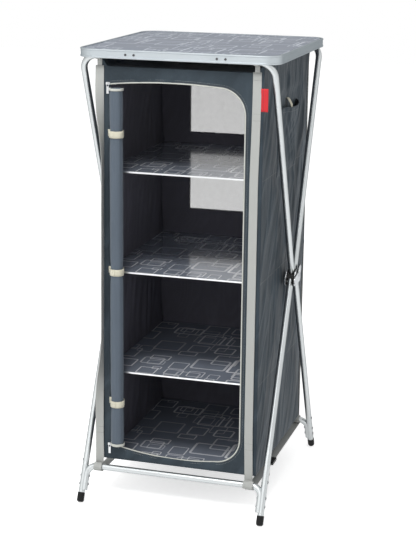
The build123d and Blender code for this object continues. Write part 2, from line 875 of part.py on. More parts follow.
# Ties: webbing bands sewn to the front panel beside the opening and closed round the roll
with BuildPart() as tie_straps:
    outer = roll_waist + tie_gap + tie_thickness
    reach = -cabinet_y - roll_y
    for level in tie_levels:
        with BuildSketch(Plane.XY.offset(level - tie_height / 2)):
            with Locations((roll_x, roll_y)):
                Circle(outer)
            with Locations((roll_x, roll_y + reach / 2)):
                Rectangle(2 * outer, reach)
            with Locations((roll_x, roll_y)):
                Circle(outer - tie_thickness, mode=Mode.SUBTRACT)
            with Locations((roll_x, roll_y + (reach - tie_thickness) / 2)):
                Rectangle(2 * (outer - tie_thickness), reach - tie_thickness, mode=Mode.SUBTRACT)
            with Locations(((flap_left + roll_x) / 2, -cabinet_y - tie_thickness / 2)):
                Rectangle(roll_x - flap_left, tie_thickness)
        extrude(amount=tie_height)
save(tie_straps.part, "tie_straps")

# Zip sliders parked at the ends of the track, with pulls that hang from their eyes
slider_x = door_left - zip_tail / 2
slider_y = -(cabinet_y + zip_height)
eye_y = slider_y - slider_base - eye_rise
for name, level in zip_ends.items():
    with BuildPart() as zip_slider:
        base_plane = Plane(origin=(slider_x, slider_y, level), x_dir=(1, 0, 0), z_dir=(0, -1, 0))
        with BuildSketch(base_plane):
            RectangleRounded(slider_length, slider_width, slider_width / 4)
        extrude(amount=slider_base)
        with BuildSketch(Plane.YZ.offset(slider_x - eye_width / 2)):
            with Locations((eye_y, level)):
                Circle(eye_radius)
                Circle(pull_wire + pin_play, mode=Mode.SUBTRACT)
            with Locations((slider_y + eye_radius, level)):
                Rectangle(2 * eye_radius, 2 * eye_radius, mode=Mode.SUBTRACT)
        extrude(amount=eye_width)
    save(zip_slider.part, f"zip_slider_{name}")

    with BuildPart() as zip_pull:
        pull_top = level + pull_wire
        pull_plane = Plane(
            origin=(slider_x, eye_y + pull_thickness / 2, pull_top), x_dir=(1, 0, 0), z_dir=(0, -1, 0)
        )
        with BuildSketch(pull_plane):
            with Locations((0, -pull_length / 2)):
                Rectangle(pull_width, pull_length)
            with Locations((0, -pull_window / 2)):
                Rectangle(pull_width - 2 * pull_arm, pull_window, mode=Mode.SUBTRACT)
        extrude(amount=pull_thickness)
        with BuildSketch(Plane.YZ.offset(slider_x - pull_width / 2)):
            with Locations((eye_y, level)):
                Circle(pull_wire)
        extrude(amount=pull_width)
    save(zip_pull.part, f"zip_pull_{name}")
print("zip pull hinge x, y", slider_x, round(eye_y, 3), "z", zip_ends)

# Gusseted pocket on the right side, with a snap above its mouth and a blank tag in the front seam
with BuildPart() as side_pocket:
    with BuildSketch(Plane.XZ.offset(-pocket_back)):
        with BuildLine():
            Polyline(
                (cabinet_x, pocket_bottom),
                (cabinet_x + pocket_foot_depth, pocket_bottom),
                (cabinet_x + pocket_mouth_depth, pocket_mouth),
                (cabinet_x, pocket_mouth),
                close=True,
            )
        make_face()
    extrude(amount=pocket_back - pocket_front)
    with BuildSketch(Plane.XZ.offset(-pocket_back + pocket_wall)):
        with BuildLine():
            Polyline(
                (cabinet_x - pocket_wall, pocket_bottom + pocket_wall),
                (cabinet_x + pocket_foot_depth - pocket_wall, pocket_bottom + pocket_wall),
                (cabinet_x + pocket_mouth_depth - pocket_wall, pocket_mouth),
                (cabinet_x - pocket_wall, pocket_mouth),
                close=True,
            )
        make_face()
    extrude(amount=pocket_back - pocket_front - 2 * pocket_wall, mode=Mode.SUBTRACT)
save(side_pocket.part, "side_pocket")

with BuildPart() as pocket_snap:
    with BuildSketch(Plane.YZ.offset(cabinet_x)):
        with Locations((snap_y, snap_z)):
            Circle(snap_radius)
    extrude(amount=snap_height)
    fillet(pocket_snap.faces().sort_by(Axis.X)[-1].edges(), radius=snap_height / 2)
save(pocket_snap.part, "pocket_snap")

with BuildPart() as side_tag:
    with BuildSketch(front_plane):
        with Locations((cabinet_x + side_tag_width / 2, side_tag_bottom + side_tag_height / 2)):
            Rectangle(side_tag_width, side_tag_height)
    extrude(amount=-tag_thickness)
save(side_tag.part, "side_tag")

# Webbing straps: looped round an upper crossbar, sewn down the cabinet, looped round a lower one
neck_z = upper_cross_z - narrow_drop
neck_y = strap_face_y + (low_face_y - strap_face_y) * narrow_drop / (upper_cross_z - crossbar_z)
strap_loops = [
    (cross_y, upper_cross_z, ring_radius, narrow_x, narrow_width),
    (low_bar_y, crossbar_z, low_ring_radius, strap_x, webbing_width),
]
strap_runs = [
    [(strap_face_y, upper_cross_z), (neck_y, neck_z)],
    [(neck_y, neck_z), (low_face_y, crossbar_z)],
]
for frame in (-1, 1):
    for side in (-1, 1):
        with BuildPart() as strap:
            for (ring_y, ring_z, radius, x, width), run in zip(strap_loops, strap_runs):
                with BuildSketch(Plane.YZ.offset(side * x - width / 2)):
                    with Locations((frame * ring_y, ring_z)):
                        Circle(radius + webbing)
                        Circle(radius, mode=Mode.SUBTRACT)
                    with BuildLine():
                        outer = [(frame * y, z) for y, z in run]
                        inner = [(frame * (y - webbing), z) for y, z in reversed(run)]
                        Polyline(*outer, *inner, close=True)
                    make_face()
                extrude(amount=width)
        save(strap.part, f"{frame_name(frame)}_strap_{side_name(side)}")

# Bottom straps: hooked over the two lower crossbars and drawn tight under the cabinet
hook_radius = low_ring_radius + webbing + webbing_gap
bottom_strap_z = crossbar_z - hook_radius - webbing
for side in (-1, 1):
    with BuildPart() as bottom_strap:
        with BuildSketch(Plane.YZ.offset(side * strap_x - webbing_width / 2)):
            for frame in (-1, 1):
                with Locations((frame * low_bar_y, crossbar_z)):
                    Circle(hook_radius + webbing)
                    Circle(hook_radius, mode=Mode.SUBTRACT)
                with Locations((frame * (low_bar_y - hook_radius), crossbar_z)):
                    Rectangle(2 * hook_radius, 4 * hook_radius, mode=Mode.SUBTRACT)
            with Locations((0, bottom_strap_z + webbing / 2)):
                Rectangle(2 * low_bar_y, webbing)
        extrude(amount=webbing_width)
    save(bottom_strap.part, f"bottom_strap_{side_name(side)}")

with BuildPart() as strap_buckle:
    with BuildSketch(Plane.XZ.offset(-buckle_y - buckle_length / 2)):
        with Locations((strap_x, bottom_strap_z + webbing / 2)):
            Rectangle(buckle_width, buckle_height)
            Rectangle(webbing_width + 2 * webbing_gap, webbing + 2 * webbing_gap, mode=Mode.SUBTRACT)
    extrude(amount=buckle_length)
save(strap_buckle.part, "strap_buckle")

with BuildPart() as strap_tag:
    with BuildSketch(Plane.YZ.offset(strap_x + webbing_width / 2)):
        with Locations((strap_tag_y, bottom_strap_z + webbing - strap_tag_height / 2)):
            Rectangle(strap_tag_length, strap_tag_height)
    extrude(amount=tag_thickness)
save(strap_tag.part, "strap_tag")
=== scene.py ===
import bpy
import math
from mathutils import Matrix, Vector, noise


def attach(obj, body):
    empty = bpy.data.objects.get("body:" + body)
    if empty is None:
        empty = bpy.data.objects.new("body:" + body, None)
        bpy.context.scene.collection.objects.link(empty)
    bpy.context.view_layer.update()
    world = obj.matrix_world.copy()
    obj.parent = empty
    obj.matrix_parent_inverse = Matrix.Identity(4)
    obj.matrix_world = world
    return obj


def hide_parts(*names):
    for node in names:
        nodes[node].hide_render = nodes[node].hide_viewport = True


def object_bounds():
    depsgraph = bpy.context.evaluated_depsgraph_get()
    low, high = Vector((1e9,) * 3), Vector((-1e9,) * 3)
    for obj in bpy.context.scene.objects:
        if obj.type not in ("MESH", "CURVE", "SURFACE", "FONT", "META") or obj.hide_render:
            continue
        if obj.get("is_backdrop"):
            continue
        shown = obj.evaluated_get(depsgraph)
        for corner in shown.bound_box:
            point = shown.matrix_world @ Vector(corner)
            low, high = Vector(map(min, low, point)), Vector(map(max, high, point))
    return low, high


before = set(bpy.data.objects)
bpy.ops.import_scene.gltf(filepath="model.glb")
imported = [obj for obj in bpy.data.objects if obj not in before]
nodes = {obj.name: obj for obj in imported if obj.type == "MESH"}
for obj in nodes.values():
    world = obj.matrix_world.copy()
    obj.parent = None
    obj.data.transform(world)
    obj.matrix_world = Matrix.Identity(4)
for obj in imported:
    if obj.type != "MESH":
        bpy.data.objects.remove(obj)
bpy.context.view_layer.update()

# The photographer's place
# A long lens stands a little to the right of the cupboard and looks slightly down on it,
# from about four and a half metres away, so that the front and the right side both show.
image_width_px = 416
focal_px = 1460.2
sensor = 36
eye = Vector((1.2640, -4.2262, 1.8077))
turn, look_down, tilt = 0.28772, 0.25563, 0.01216
camera = bpy.data.objects.new("camera", bpy.data.cameras.new("camera"))
camera.data.sensor_fit = "HORIZONTAL"
camera.data.sensor_width = sensor
camera.data.lens = focal_px * sensor / image_width_px
camera.data.clip_end = 60
camera.matrix_world = (
    Matrix.Translation(eye)
    @ Matrix.Rotation(turn, 4, "Z")
    @ Matrix.Rotation(math.pi / 2 - look_down, 4, "X")
    @ Matrix.Rotation(tilt, 4, "Z")
)
bpy.context.collection.objects.link(camera)
bpy.context.scene.camera = camera
bpy.context.scene.view_settings.view_transform = "Standard"


# Studio
# A white sweep of paper under soft lamps: large ones at the front left and in front, which reach
# into the compartments, one high above the front, and a weak one on the right.
class Socket:
    """A value or colour inside a material, on which Python's own arithmetic works."""

    def __init__(self, tree, socket=None):
        self.tree = tree
        self.socket = socket

    def add(self, kind, settings=None, inputs=None, output=0):
        """Adds a node of one kind with its settings, and fills its sockets by name or number."""
        node = self.tree.nodes.new(kind)
        for key, value in (settings or {}).items():
            setattr(node, key, value)
        for key, value in (inputs or {}).items():
            if isinstance(value, Socket):
                self.tree.links.new(value.socket, node.inputs[key])
            else:
                node.inputs[key].default_value = value
        return Socket(self.tree, node.outputs[output])

    def math(self, operation, first, second=0.0):
        return self.add("ShaderNodeMath", {"operation": operation}, {0: first, 1: second})

    def vector(self, operation, first, second, output="Vector"):
        return self.add("ShaderNodeVectorMath", {"operation": operation}, {0: first, 1: second}, output)

    def mix(self, share, first, second):
        """One colour turning into another one as the share goes from 0 to 1."""
        colour_a, colour_b, colour_out = 6, 7, 2
        sockets = {"Factor": share, colour_a: first, colour_b: second}
        return self.add("ShaderNodeMix", {"data_type": "RGBA"}, sockets, colour_out)

    def __add__(self, other):
        return self.math("ADD", self, other)

    def __sub__(self, other):
        return self.math("SUBTRACT", self, other)

    def __rsub__(self, other):
        return self.math("SUBTRACT", other, self)

    def __mul__(self, other):
        return self.math("MULTIPLY", self, other)

    def __pow__(self, other):
        return self.math("POWER", self, other)

    def __abs__(self):
        return self.math("ABSOLUTE", self)

    def __gt__(self, other):
        return self.math("GREATER_THAN", self, other)

    def __lt__(self, other):
        return self.math("LESS_THAN", self, other)

    __radd__ = __add__
    __rmul__ = __mul__

    def at_least(self, other):
        return self.math("MAXIMUM", self, other)

    def at_most(self, other):
        return self.math("MINIMUM", self, other)


def linear(red, green, blue):
    """A colour as a screen shows it, 0 to 255, turned into the light that it stands for."""
    shown = (red / 255, green / 255, blue / 255)
    return tuple(c / 12.92 if c < 0.0404 else ((c + 0.055) / 1.055) ** 2.4 for c in shown) + (1,)


def shaded(colour, share):
    """The same colour at a share of its light."""
    return tuple(min(1, c * share) for c in colour[:3]) + (1,)


def blank_material(name):
    """A new material with one shader, and the Socket that builds what feeds it."""
    material = bpy.data.materials.new(name)
    material.use_nodes = True
    shader = material.node_tree.nodes["Principled BSDF"]
    return material, shader, Socket(material.node_tree)


def feed(shader, work, **links):
    """Links finished values to a shader's sockets, whose names have spaces for underscores."""
    for name, value in links.items():
        work.tree.links.new(value.socket, shader.inputs[name.replace("_", " ").title()])


def steady(shader, **values):
    """Sets the sockets of a shader that are the same all over the surface."""
    for name, value in values.items():
        shader.inputs[name.replace("_", " ").title()].default_value = value


lamp_plan = {
    "front_left": ((-3.0, -4.0, 3.2), 3.0, 34),
    "front": ((0.3, -4.7, 2.9), 2.4, 26),
    "high_front": ((-0.1, -2.4, 4.5), 1.2, 100),
    "right": ((3.8, -0.6, 2.4), 2.4, 8),
}
lamp_target = Vector((0, 0, 0.8))
for name, (place, size, watts) in lamp_plan.items():
    lamp = bpy.data.objects.new(name, bpy.data.lights.new(name, "AREA"))
    lamp.data.size = size
    lamp.data.energy = watts
    lamp.location = place
    lamp.rotation_euler = (lamp_target - Vector(place)).to_track_quat("-Z", "Y").to_euler()
    bpy.context.collection.objects.link(lamp)


def shown_white(work):
    """1 for the rays on which paper and room show white: straight, mirrored or through a mesh."""
    ways = ("Camera", "Glossy", "Transmission")
    straight, mirrored, through = [work.add("ShaderNodeLightPath", output=f"Is {way} Ray") for way in ways]
    return straight.at_least(mirrored).at_least(through)


world = bpy.data.worlds.new("studio")
bpy.context.scene.world = world
world.use_nodes = True
work = Socket(world.node_tree)
room = world.node_tree.nodes["Background"]
room.inputs["Color"].default_value = (1, 1, 1, 1)
fill_light = 0.55
strength = shown_white(work) * (1 - fill_light) + fill_light
world.node_tree.links.new(strength.socket, room.inputs["Strength"])

paper, paper_shader, work = blank_material("paper")
paper_white, paper_glow = 0.93, 0.60
glow = work.mix(shown_white(work), (0, 0, 0, 1), (paper_glow,) * 3 + (1,))
feed(paper_shader, work, emission_color=glow)
steady(paper_shader, base_color=(paper_white,) * 3 + (1,), roughness=1.0, emission_strength=1.0)
sweep_size = 24
bpy.ops.mesh.primitive_plane_add(size=sweep_size, location=(0, 0, 0))
floor = bpy.context.object
floor.name = "floor"
floor.data.materials.append(paper)
floor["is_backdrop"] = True


# Table top
# A thin laminated board with a printed pattern of rounded squares lies in a slot of an extruded
# aluminium edge with bent corners. Four moulded clips are riveted inside the edge.
def rounded_squares(work, cell, line, seed, kept):
    """A mask of outlined rounded oblongs, at most one of its own size in each cell of a grid."""
    least, most, round_off, scatter = 0.13, 0.44, 0.05, 1.7
    slimmest, slim_range, finest_line, line_growth, faintest = 0.6, 0.8, 0.3, 1.3, 0.4
    place = work.add("ShaderNodeTexCoord", output="Object")
    moved = work.vector("ADD", place, (seed * 0.137 + 5, seed * 0.219 + 5, 0))
    grid = work.vector("DIVIDE", moved, (cell, cell, cell))
    cell_corner = work.vector("FLOOR", grid, (0, 0, 0))
    flat_cell = work.vector("MULTIPLY", cell_corner, (1, 1, 0))
    inside = work.vector("SUBTRACT", grid, cell_corner)
    pick = []
    for start in ((0, 0, 0), (7, 3, 1)):
        spot = work.vector("ADD", flat_cell, start)
        chance = work.add("ShaderNodeTexWhiteNoise", {"noise_dimensions": "3D"}, {0: spot}, output="Color")
        pick += [work.add("ShaderNodeSeparateXYZ", None, {0: chance}, output=axis) for axis in range(3)]
    centre_x, centre_y, size, drawn, slimness, strength = pick
    half = size * (most - least) + least
    other_half = (half * (slimness * slim_range + slimmest)).at_most(most)
    across = []
    for axis, centre, reach in ((0, centre_x, half), (1, centre_y, other_half)):
        local = work.add("ShaderNodeSeparateXYZ", None, {0: inside}, output=axis)
        middle_line = (centre - 0.5) * (0.5 - reach) * scatter + 0.5
        across.append(abs(local - middle_line) - reach + round_off)
    outside = across[0].at_least(0.0) ** 2.0 + across[1].at_least(0.0) ** 2.0
    distance = outside ** 0.5 + across[0].at_least(across[1]).at_most(0.0) - round_off
    outline = abs(distance) < (half * line_growth + finest_line) * (line / cell)
    return outline * (drawn < kept) * (strength * (1 - faintest) + faintest)


def cloud(work, scale, detail, place=None):
    """A cloudy noise over the surface, or over a stretched place on it."""
    inputs = {"Scale": scale, "Detail": detail}
    if place:
        inputs["Vector"] = place
    return work.add("ShaderNodeTexNoise", None, inputs)


def printed_board(name, ground, ink, layers, roughness, coat):
    """Board laminate: a ground colour with fine speckle, and layers of outlines printed over it.

    A layer is the size of its cells, the width of its lines, its seed and its share of cells kept.
    """
    worn_dark, worn_light, speckle_light = 0.86, 1.12, 1.5
    material, shader, work = blank_material(name)
    mask = rounded_squares(work, *layers[0])
    for layer in layers[1:]:
        mask = mask.at_least(rounded_squares(work, *layer))
    speckle = cloud(work, 900.0, 2.0)
    cloudy = cloud(work, 9.0, 3.0)
    worn_ground = work.mix(cloudy, shaded(ground, worn_dark), shaded(ground, worn_light))
    grained = work.mix(speckle * 0.3, worn_ground, shaded(ground, speckle_light))
    printed = work.mix(mask * (cloudy * 0.5 + 0.7), grained, ink)
    feed(shader, work, base_color=printed, roughness=cloudy * 0.1 + roughness)
    steady(shader, coat_weight=coat, coat_roughness=0.1)
    return material


top_layers = [(0.15, 0.0042, 1, 0.8), (0.09, 0.0030, 4, 0.7), (0.06, 0.0022, 9, 0.4)]
top_print = printed_board(
    "top_print", linear(82, 91, 106), linear(166, 173, 184), top_layers, roughness=0.46, coat=0.1,
)


def paint(node, material):
    """Gives a carried-over piece its finish."""
    mesh = nodes[node].data
    mesh.materials.clear()
    mesh.materials.append(material)


paint("table_board", top_print)


def metal(name, colour, roughness, grain_scale, grain_depth, edge=0.3):
    """Metal with a fine drawn grain and uneven handling marks; edge is its shine at a slant."""
    grain_stretch, relief = 0.06, 0.0002
    mark_shade, mark_roughness = 0.86, 0.16
    material, shader, work = blank_material(name)
    place = work.add("ShaderNodeTexCoord", output="Object")
    stretched = work.vector("MULTIPLY", place, (1.0, 1.0, grain_stretch))
    grain = cloud(work, grain_scale, 3.0, stretched)
    marks = cloud(work, 14.0, 4.0, place)
    bump = work.add("ShaderNodeBump", None, {"Strength": grain_depth, "Distance": relief, "Height": grain})
    shade = work.mix(marks, colour, shaded(colour, mark_shade))
    marked = marks * mark_roughness + roughness - mark_roughness / 2
    feed(shader, work, base_color=shade, roughness=marked, normal=bump)
    steady(shader, metallic=1.0, specular_tint=shaded(colour, edge))
    return material


edge_metal = metal("edge_metal", linear(184, 191, 195), 0.5, 700.0, 0.15)
paint("table_rim", edge_metal)
dark_metal = metal("dark_metal", linear(86, 86, 88), 0.42, 800.0, 0.1)
paint("rim_rivets", dark_metal)


def moulding(name, colour, roughness):
    """Moulded plastic or rubber with a fine spark-eroded surface."""
    pore_depth, relief = 0.35, 0.0002
    wear_light, wear_roughness = 2.0, 0.2
    glare = 0.25
    material, shader, work = blank_material(name)
    pores = cloud(work, 1600.0, 2.0)
    wear = cloud(work, 35.0, 4.0)
    bump = work.add("ShaderNodeBump", None, {"Strength": pore_depth, "Distance": relief, "Height": pores})
    shade = work.mix(wear, colour, shaded(colour, wear_light))
    worn = wear * wear_roughness + roughness - wear_roughness / 2
    feed(shader, work, base_color=shade, roughness=worn, normal=bump)
    shader.inputs["Specular IOR Level"].default_value = glare
    return material


black_plastic = moulding("black_plastic", linear(15, 15, 16), 0.45)
paint("table_clips", black_plastic)

# Tube frame
# Drawn aluminium tubes with a satin anodised skin: two bent upper frames, four straight legs and
# two lower crossbars whose ends are pressed hollow and riveted to the legs; rubber caps below.
tube_metal = metal("tube_metal", linear(196, 200, 201), 0.36, 500.0, 0.12)
for frame_name in ("front", "rear"):
    for node in (f"upper_{frame_name}_frame", f"lower_{frame_name}_crossbar"):
        paint(node, tube_metal)
    for side_name in ("left", "right"):
        paint(f"lower_{frame_name}_leg_{side_name}", tube_metal)
rivet_metal = metal("rivet_metal", linear(170, 172, 174), 0.36, 800.0, 0.1)
cap_rubber = moulding("cap_rubber", linear(9, 9, 10), 0.6)
for frame_name in ("front", "rear"):
    paint(f"{frame_name}_leg_rivets", rivet_metal)
    paint(f"{frame_name}_foot_caps", cap_rubber)

# Knee hubs
# A black moulded body between two steel plates takes the tube ends on four pins. A bent steel
# lever with a moulded pad turns on a stud outside and locks the open frame.
plate_metal = metal("plate_metal", linear(214, 216, 218), 0.36, 900.0, 0.25, edge=1.0)
for side_name in ("left", "right"):
    paint(f"hub_body_{side_name}", black_plastic)
    paint(f"lever_pad_{side_name}", black_plastic)
    for part in ("hub_plate_inner", "hub_plate_outer", "hub_pins", "lock_lever"):
        paint(f"{part}_{side_name}", plate_metal)

# Shelves
# Three laminated boards and a floor board, printed like the table top but paler and glossy, each
# with a bright aluminium strip pressed over its front edge.
shelf_layers = [(0.15, 0.0048, 2, 0.8), (0.10, 0.0034, 7, 0.7), (0.07, 0.0022, 12, 0.4)]
shelf_print = printed_board(
    "shelf_print", linear(122, 129, 141), linear(240, 241, 244), shelf_layers, roughness=0.16, coat=0.8,
)
for node in ("shelf_board_upper", "shelf_board_middle", "shelf_board_lower", "floor_board"):
    paint(node, shelf_print)
bright_strip = metal("bright_strip", linear(232, 234, 236), 0.3, 600.0, 0.1)
paint("shelf_edge_strips", bright_strip)


# Cabinet sides
# Coated plain-weave polyester, slate outside, with its inside painted a lighter grey as painted light
# against the shade in the cabinet; cut in panels and sewn at the edges. It hangs from the straps in long
# slanting creases, drawn in between the shelf seams.
cabinet = "hubs_and_cabinet"
cloth_gauge = 0.0009
cloth_glare = 0.15
waves_per_thread = 0.16
fine_slant = 0.42
fine_across, fine_along = 11.0, 2.2


def waves(work, place, ways, scale):
    """One set of soft bands across each of the named axes."""
    inputs = {"Vector": place, "Scale": scale}
    return [work.add("ShaderNodeTexWave", {"bands_direction": way}, inputs, "Fac") for way in ways]


def woven(name, colour, thread, sheen=0.1, roughness=0.8, creased=0.0):
    """Plain-weave cloth: crossing threads of one width with painted shade in their dips, faint streaks, and
    fine slanting creases whose ridges are painted lighter, partly as fading and partly as painted
    highlight.
    """
    streak_stretch, crease_relief, ridge_narrowness = 0.04, 0.0060, 9.0
    faded_light, ridge_fade_and_highlight, streak_dark, weave_dip_shadow = 1.3, 2.0, 0.75, 0.6
    depth, fade_roughness = 0.35, 0.12
    material, shader, work = blank_material(name)
    place = work.add("ShaderNodeTexCoord", output="Object")
    bands = waves(work, place, "XYZ", waves_per_thread / thread)
    weave = bands[0].at_least(bands[1]).at_least(bands[2])
    fade = cloud(work, 7.0, 5.0, place)
    hanging = work.vector("MULTIPLY", place, (1.0, 1.0, streak_stretch))
    streak = cloud(work, 260.0, 2.0, hanging)
    bump = work.add("ShaderNodeBump", None, {"Strength": depth, "Distance": thread * 0.3, "Height": weave})
    if creased:
        slant = work.vector("DOT_PRODUCT", place, (0.7, 1.0, -fine_slant), "Value")
        down = work.vector("DOT_PRODUCT", place, (0.0, fine_slant, 1.0), "Value")
        drawn = work.add("ShaderNodeCombineXYZ", None, {0: slant * fine_across, 1: down * fine_along})
        pulled = cloud(work, 1.0, 2.0, drawn)
        ridge = (1.0 - abs(pulled - 0.5) * ridge_narrowness).at_least(0.0) * fade
        bump = work.add("ShaderNodeBump", None, {
            "Strength": creased, "Distance": crease_relief, "Height": ridge + pulled * 0.5, "Normal": bump,
        })
    # The dips between the threads are painted darker, as painted shade.
    ground = work.mix(weave, shaded(colour, weave_dip_shadow), colour)
    faded_and_ridge_highlit = work.mix(fade * 0.5, ground, shaded(colour, faded_light))
    # Crease ridges are painted lighter: partly fading along the creases and partly a painted highlight
    # where light catches them.
    if creased:
        faded_and_ridge_highlit = work.mix(ridge * (creased * 0.8), faded_and_ridge_highlit, shaded(colour, ridge_fade_and_highlight))
    shade = work.mix(streak * 0.35, faded_and_ridge_highlit, shaded(colour, streak_dark))
    uneven = fade * fade_roughness + roughness - fade_roughness / 2
    feed(shader, work, base_color=shade, roughness=uneven, normal=bump)
    steady(shader, sheen_weight=sheen, sheen_roughness=0.5)
    shader.inputs["Specular IOR Level"].default_value = cloth_glare
    return material


slate_cloth = woven("slate_cloth", linear(52, 61, 68), 0.0006, sheen=0.03, roughness=0.6, creased=1.0)
# The inner face is painted a lighter grey than the slate outside, as painted light against the shade inside
# the cabinet.
lining_painted_lighter = woven("lining_painted_lighter", linear(98, 97, 107), 0.0006, sheen=0.03, creased=0.25)


def cloth_piece(name, rows, material, gauge=cloth_gauge, ring=False, skip=None, lining=None):
    """A piece of cloth from rows of points; ring joins the last column to the first one."""
    width = len(rows[0])
    faces = []
    for r in range(len(rows) - 1):
        for c in range(width if ring else width - 1):
            if not (skip and skip(r, c)):
                d = (c + 1) % width
                faces.append((r * width + c, r * width + d, (r + 1) * width + d, (r + 1) * width + c))
    points = [p for row in rows for p in row]
    kept = sorted({v for face in faces for v in face})
    place = {old: new for new, old in enumerate(kept)}
    mesh = bpy.data.meshes.new(name)
    mesh.from_pydata([points[v] for v in kept], [], [[place[v] for v in face] for face in faces])
    mesh.polygons.foreach_set("use_smooth", [True] * len(mesh.polygons))
    piece = bpy.data.objects.new(name, mesh)
    bpy.context.collection.objects.link(piece)
    mesh.materials.append(material)
    if gauge:
        thick = piece.modifiers.new("gauge", "SOLIDIFY")
        thick.thickness = gauge
        thick.offset = 0
        if lining:
            mesh.materials.append(lining)
            thick.material_offset = 1
    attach(piece, cabinet)
    return piece


def steps(first, last, count):
    return [first + (last - first) * i / (count - 1) for i in range(count)]


half_wide = 0.240
shift = 0.012
half_deep = 0.2828
bottom_z, top_z = 0.130, 1.330
panel_height = top_z - bottom_z
shelf_levels = [0.413, 0.724, 1.026]
seam_levels = [bottom_z] + shelf_levels + [top_z]
strap_pull, pull_reach = 0.022, 0.010


def raised(off):
    """How much higher the upper edge stands near the sides, where the straps pull it up."""
    return strap_pull * math.exp(-((off / pull_reach) ** 2))


def bay(z):
    """0 at a shelf seam and 1 half way between two of them."""
    for low, high in zip(seam_levels, seam_levels[1:]):
        if low < z < high:
            return math.sin(math.pi * (z - low) / (high - low)) ** 0.75
    return 0.0


def crease(along, across, seed, length, width):
    """Long soft creases: a noise that changes slowly one way and quickly the other."""
    shorter, narrower, broad_height, fine_height = 2.2, 2.4, 0.75, 0.35
    broad = noise.noise(Vector((along * length, across * width, seed)))
    fine = noise.noise(Vector((along * length * shorter, across * width * narrower, seed + 7)))
    return broad * broad_height + fine * fine_height


def sharp_crease(along, across, seed, length, width):
    """Narrow ridges, as pulled cloth has, which run along the lines where a noise is 0."""
    narrowness, sharpness = 5, 1.5
    value = noise.noise(Vector((along * length, across * width, seed)))
    return max(0.0, 1 - abs(value) * narrowness) ** sharpness


def ease(value):
    """A soft step from 0 to 1."""
    value = min(1.0, max(0.0, value))
    return value * value * (3 - 2 * value)


rear_draw = 0.024


def rear_edge(z):
    """Where the rear edge of the cloth stands: the back pulls it in between the seams."""
    return half_deep - rear_draw * bay(z)


pocket_front, pocket_back = -0.108, 0.120
pocket_low, pocket_high = 1.005, 1.208
pocket_margin, pocket_top_margin, pocket_ease = 0.004, 0.024, 0.035
crease_lean, steep_lean = 0.36, 0.16
front_rise, rear_rise = 7, 9
gather_reach, gather_least = 0.035, 0.3
slack, bay_slack = 0.0030, 0.0020
crease_height, ridge_height = 0.0130, 0.0048
pucker_height, pucker_reach = 0.0044, 0.05
leg_room, frame_room, pressed_in = 0.0055, 0.0095, 0.0016


def side_face(side, y, z):
    """How far out from the middle of the cabinet the cloth of one side stands."""
    t = (y + half_deep) / (rear_edge(z) + half_deep)
    hem = min(1.0, front_rise * t, rear_rise * (1 - t))
    seam = min(abs(z - level) for level in seam_levels)
    gather = 1 - math.exp(-((seam / gather_reach) ** 2))
    across = y - crease_lean * z
    along = z + crease_lean * y
    soft = crease(along, across, 3.1 + side, 1.9, 13.0)
    ridges = sharp_crease(along, across, 8.3 + side, 1.7, 11.0)
    ridges += sharp_crease(along, y - steep_lean * z, 5.9 + side, 2.3, 15.0)
    pucker = noise.noise(Vector((y * 46, seam * 14, 2.5 + side))) * math.exp(-seam / pucker_reach)
    lift = slack + bay_slack * bay(z) + crease_height * soft + ridge_height * ridges
    lift += pucker_height * pucker
    most = leg_room if z < shelf_levels[0] else frame_room
    lift = most * math.tanh(lift / most)
    calm = 1.0
    if side > 0:
        beside = max(
            pocket_front - pocket_margin - y, y - pocket_back - pocket_margin,
            pocket_low - pocket_margin - z, z - pocket_high - pocket_top_margin,
        )
        calm = ease(beside / pocket_ease)
    out = half_wide + hem * (gather_least + (1 - gather_least) * gather) * lift * calm
    return shift + side * max(out, half_wide - pressed_in)


side_rows, side_columns = 240, 96
two_sides = ((-1, "left"), (1, "right"))
for side, side_name in two_sides:
    rows = []
    for z in steps(bottom_z, top_z + raised(0), side_rows):
        row = []
        for t in steps(0, 1, side_columns)[::side]:
            y = -half_deep + t * (rear_edge(z) + half_deep)
            row.append((side_face(side, y, z), y, z))
        rows.append(row)
    panel = cloth_piece(f"side_cloth_{side_name}", rows, slate_cloth, lining=lining_painted_lighter)
    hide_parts(f"side_panel_{side_name}")


def stitch_rows(name, rows, material, pitch=0.0050, length=0.0034):
    """Lockstitches along paths of points: each is a short thread that lies on the cloth."""
    width = 0.0009
    points, faces = [], []
    section = ((-0.5, -0.2), (-0.3, 0.45), (0.3, 0.45), (0.5, -0.2))
    for path, out in rows:
        out = Vector(out)
        travel = 0.0
        for first, last in zip(path, path[1:]):
            first, last = Vector(first), Vector(last)
            run = (last - first).length
            along = (last - first) / run
            across = along.cross(out).normalized()
            while travel < run:
                corner = len(points)
                for share, size in ((0, 0.4), (0.5, 1.0), (1, 0.4)):
                    spot = first + along * (travel + length * share)
                    points += [
                        spot + across * width * u * size + out * width * h * size for u, h in section
                    ]
                for ring in (0, 4):
                    for k in range(3):
                        i = corner + ring + k
                        faces.append((i, i + 1, i + 5, i + 4))
                travel += pitch
            travel -= run
    mesh = bpy.data.meshes.new(name)
    mesh.from_pydata(points, [], faces)
    mesh.materials.append(material)
    piece = bpy.data.objects.new(name, mesh)
    bpy.context.collection.objects.link(piece)
    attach(piece, cabinet)
    return piece


thread_grey = woven("thread_grey", linear(146, 150, 152), 0.0003)
seam_drop, seam_end, thread_lift = 0.004, 0.004, 0.0005
seams = []
for side in (-1, 1):
    for level in shelf_levels:
        z = level - seam_drop
        front_end, rear_end = -half_deep + seam_end, rear_edge(z) - seam_end
        spans = [(front_end, rear_end)]
        if side > 0 and level > pocket_low:
            spans = [(front_end, pocket_front - seam_end), (pocket_back + seam_end, rear_end)]
        for first, last in spans:
            path = [(side_face(side, y, z) + side * thread_lift, y, z) for y in steps(first, last, 60)]
            seams.append((path, (side, 0, 0)))
stitch_rows("shelf_seam_stitches", seams, thread_grey)


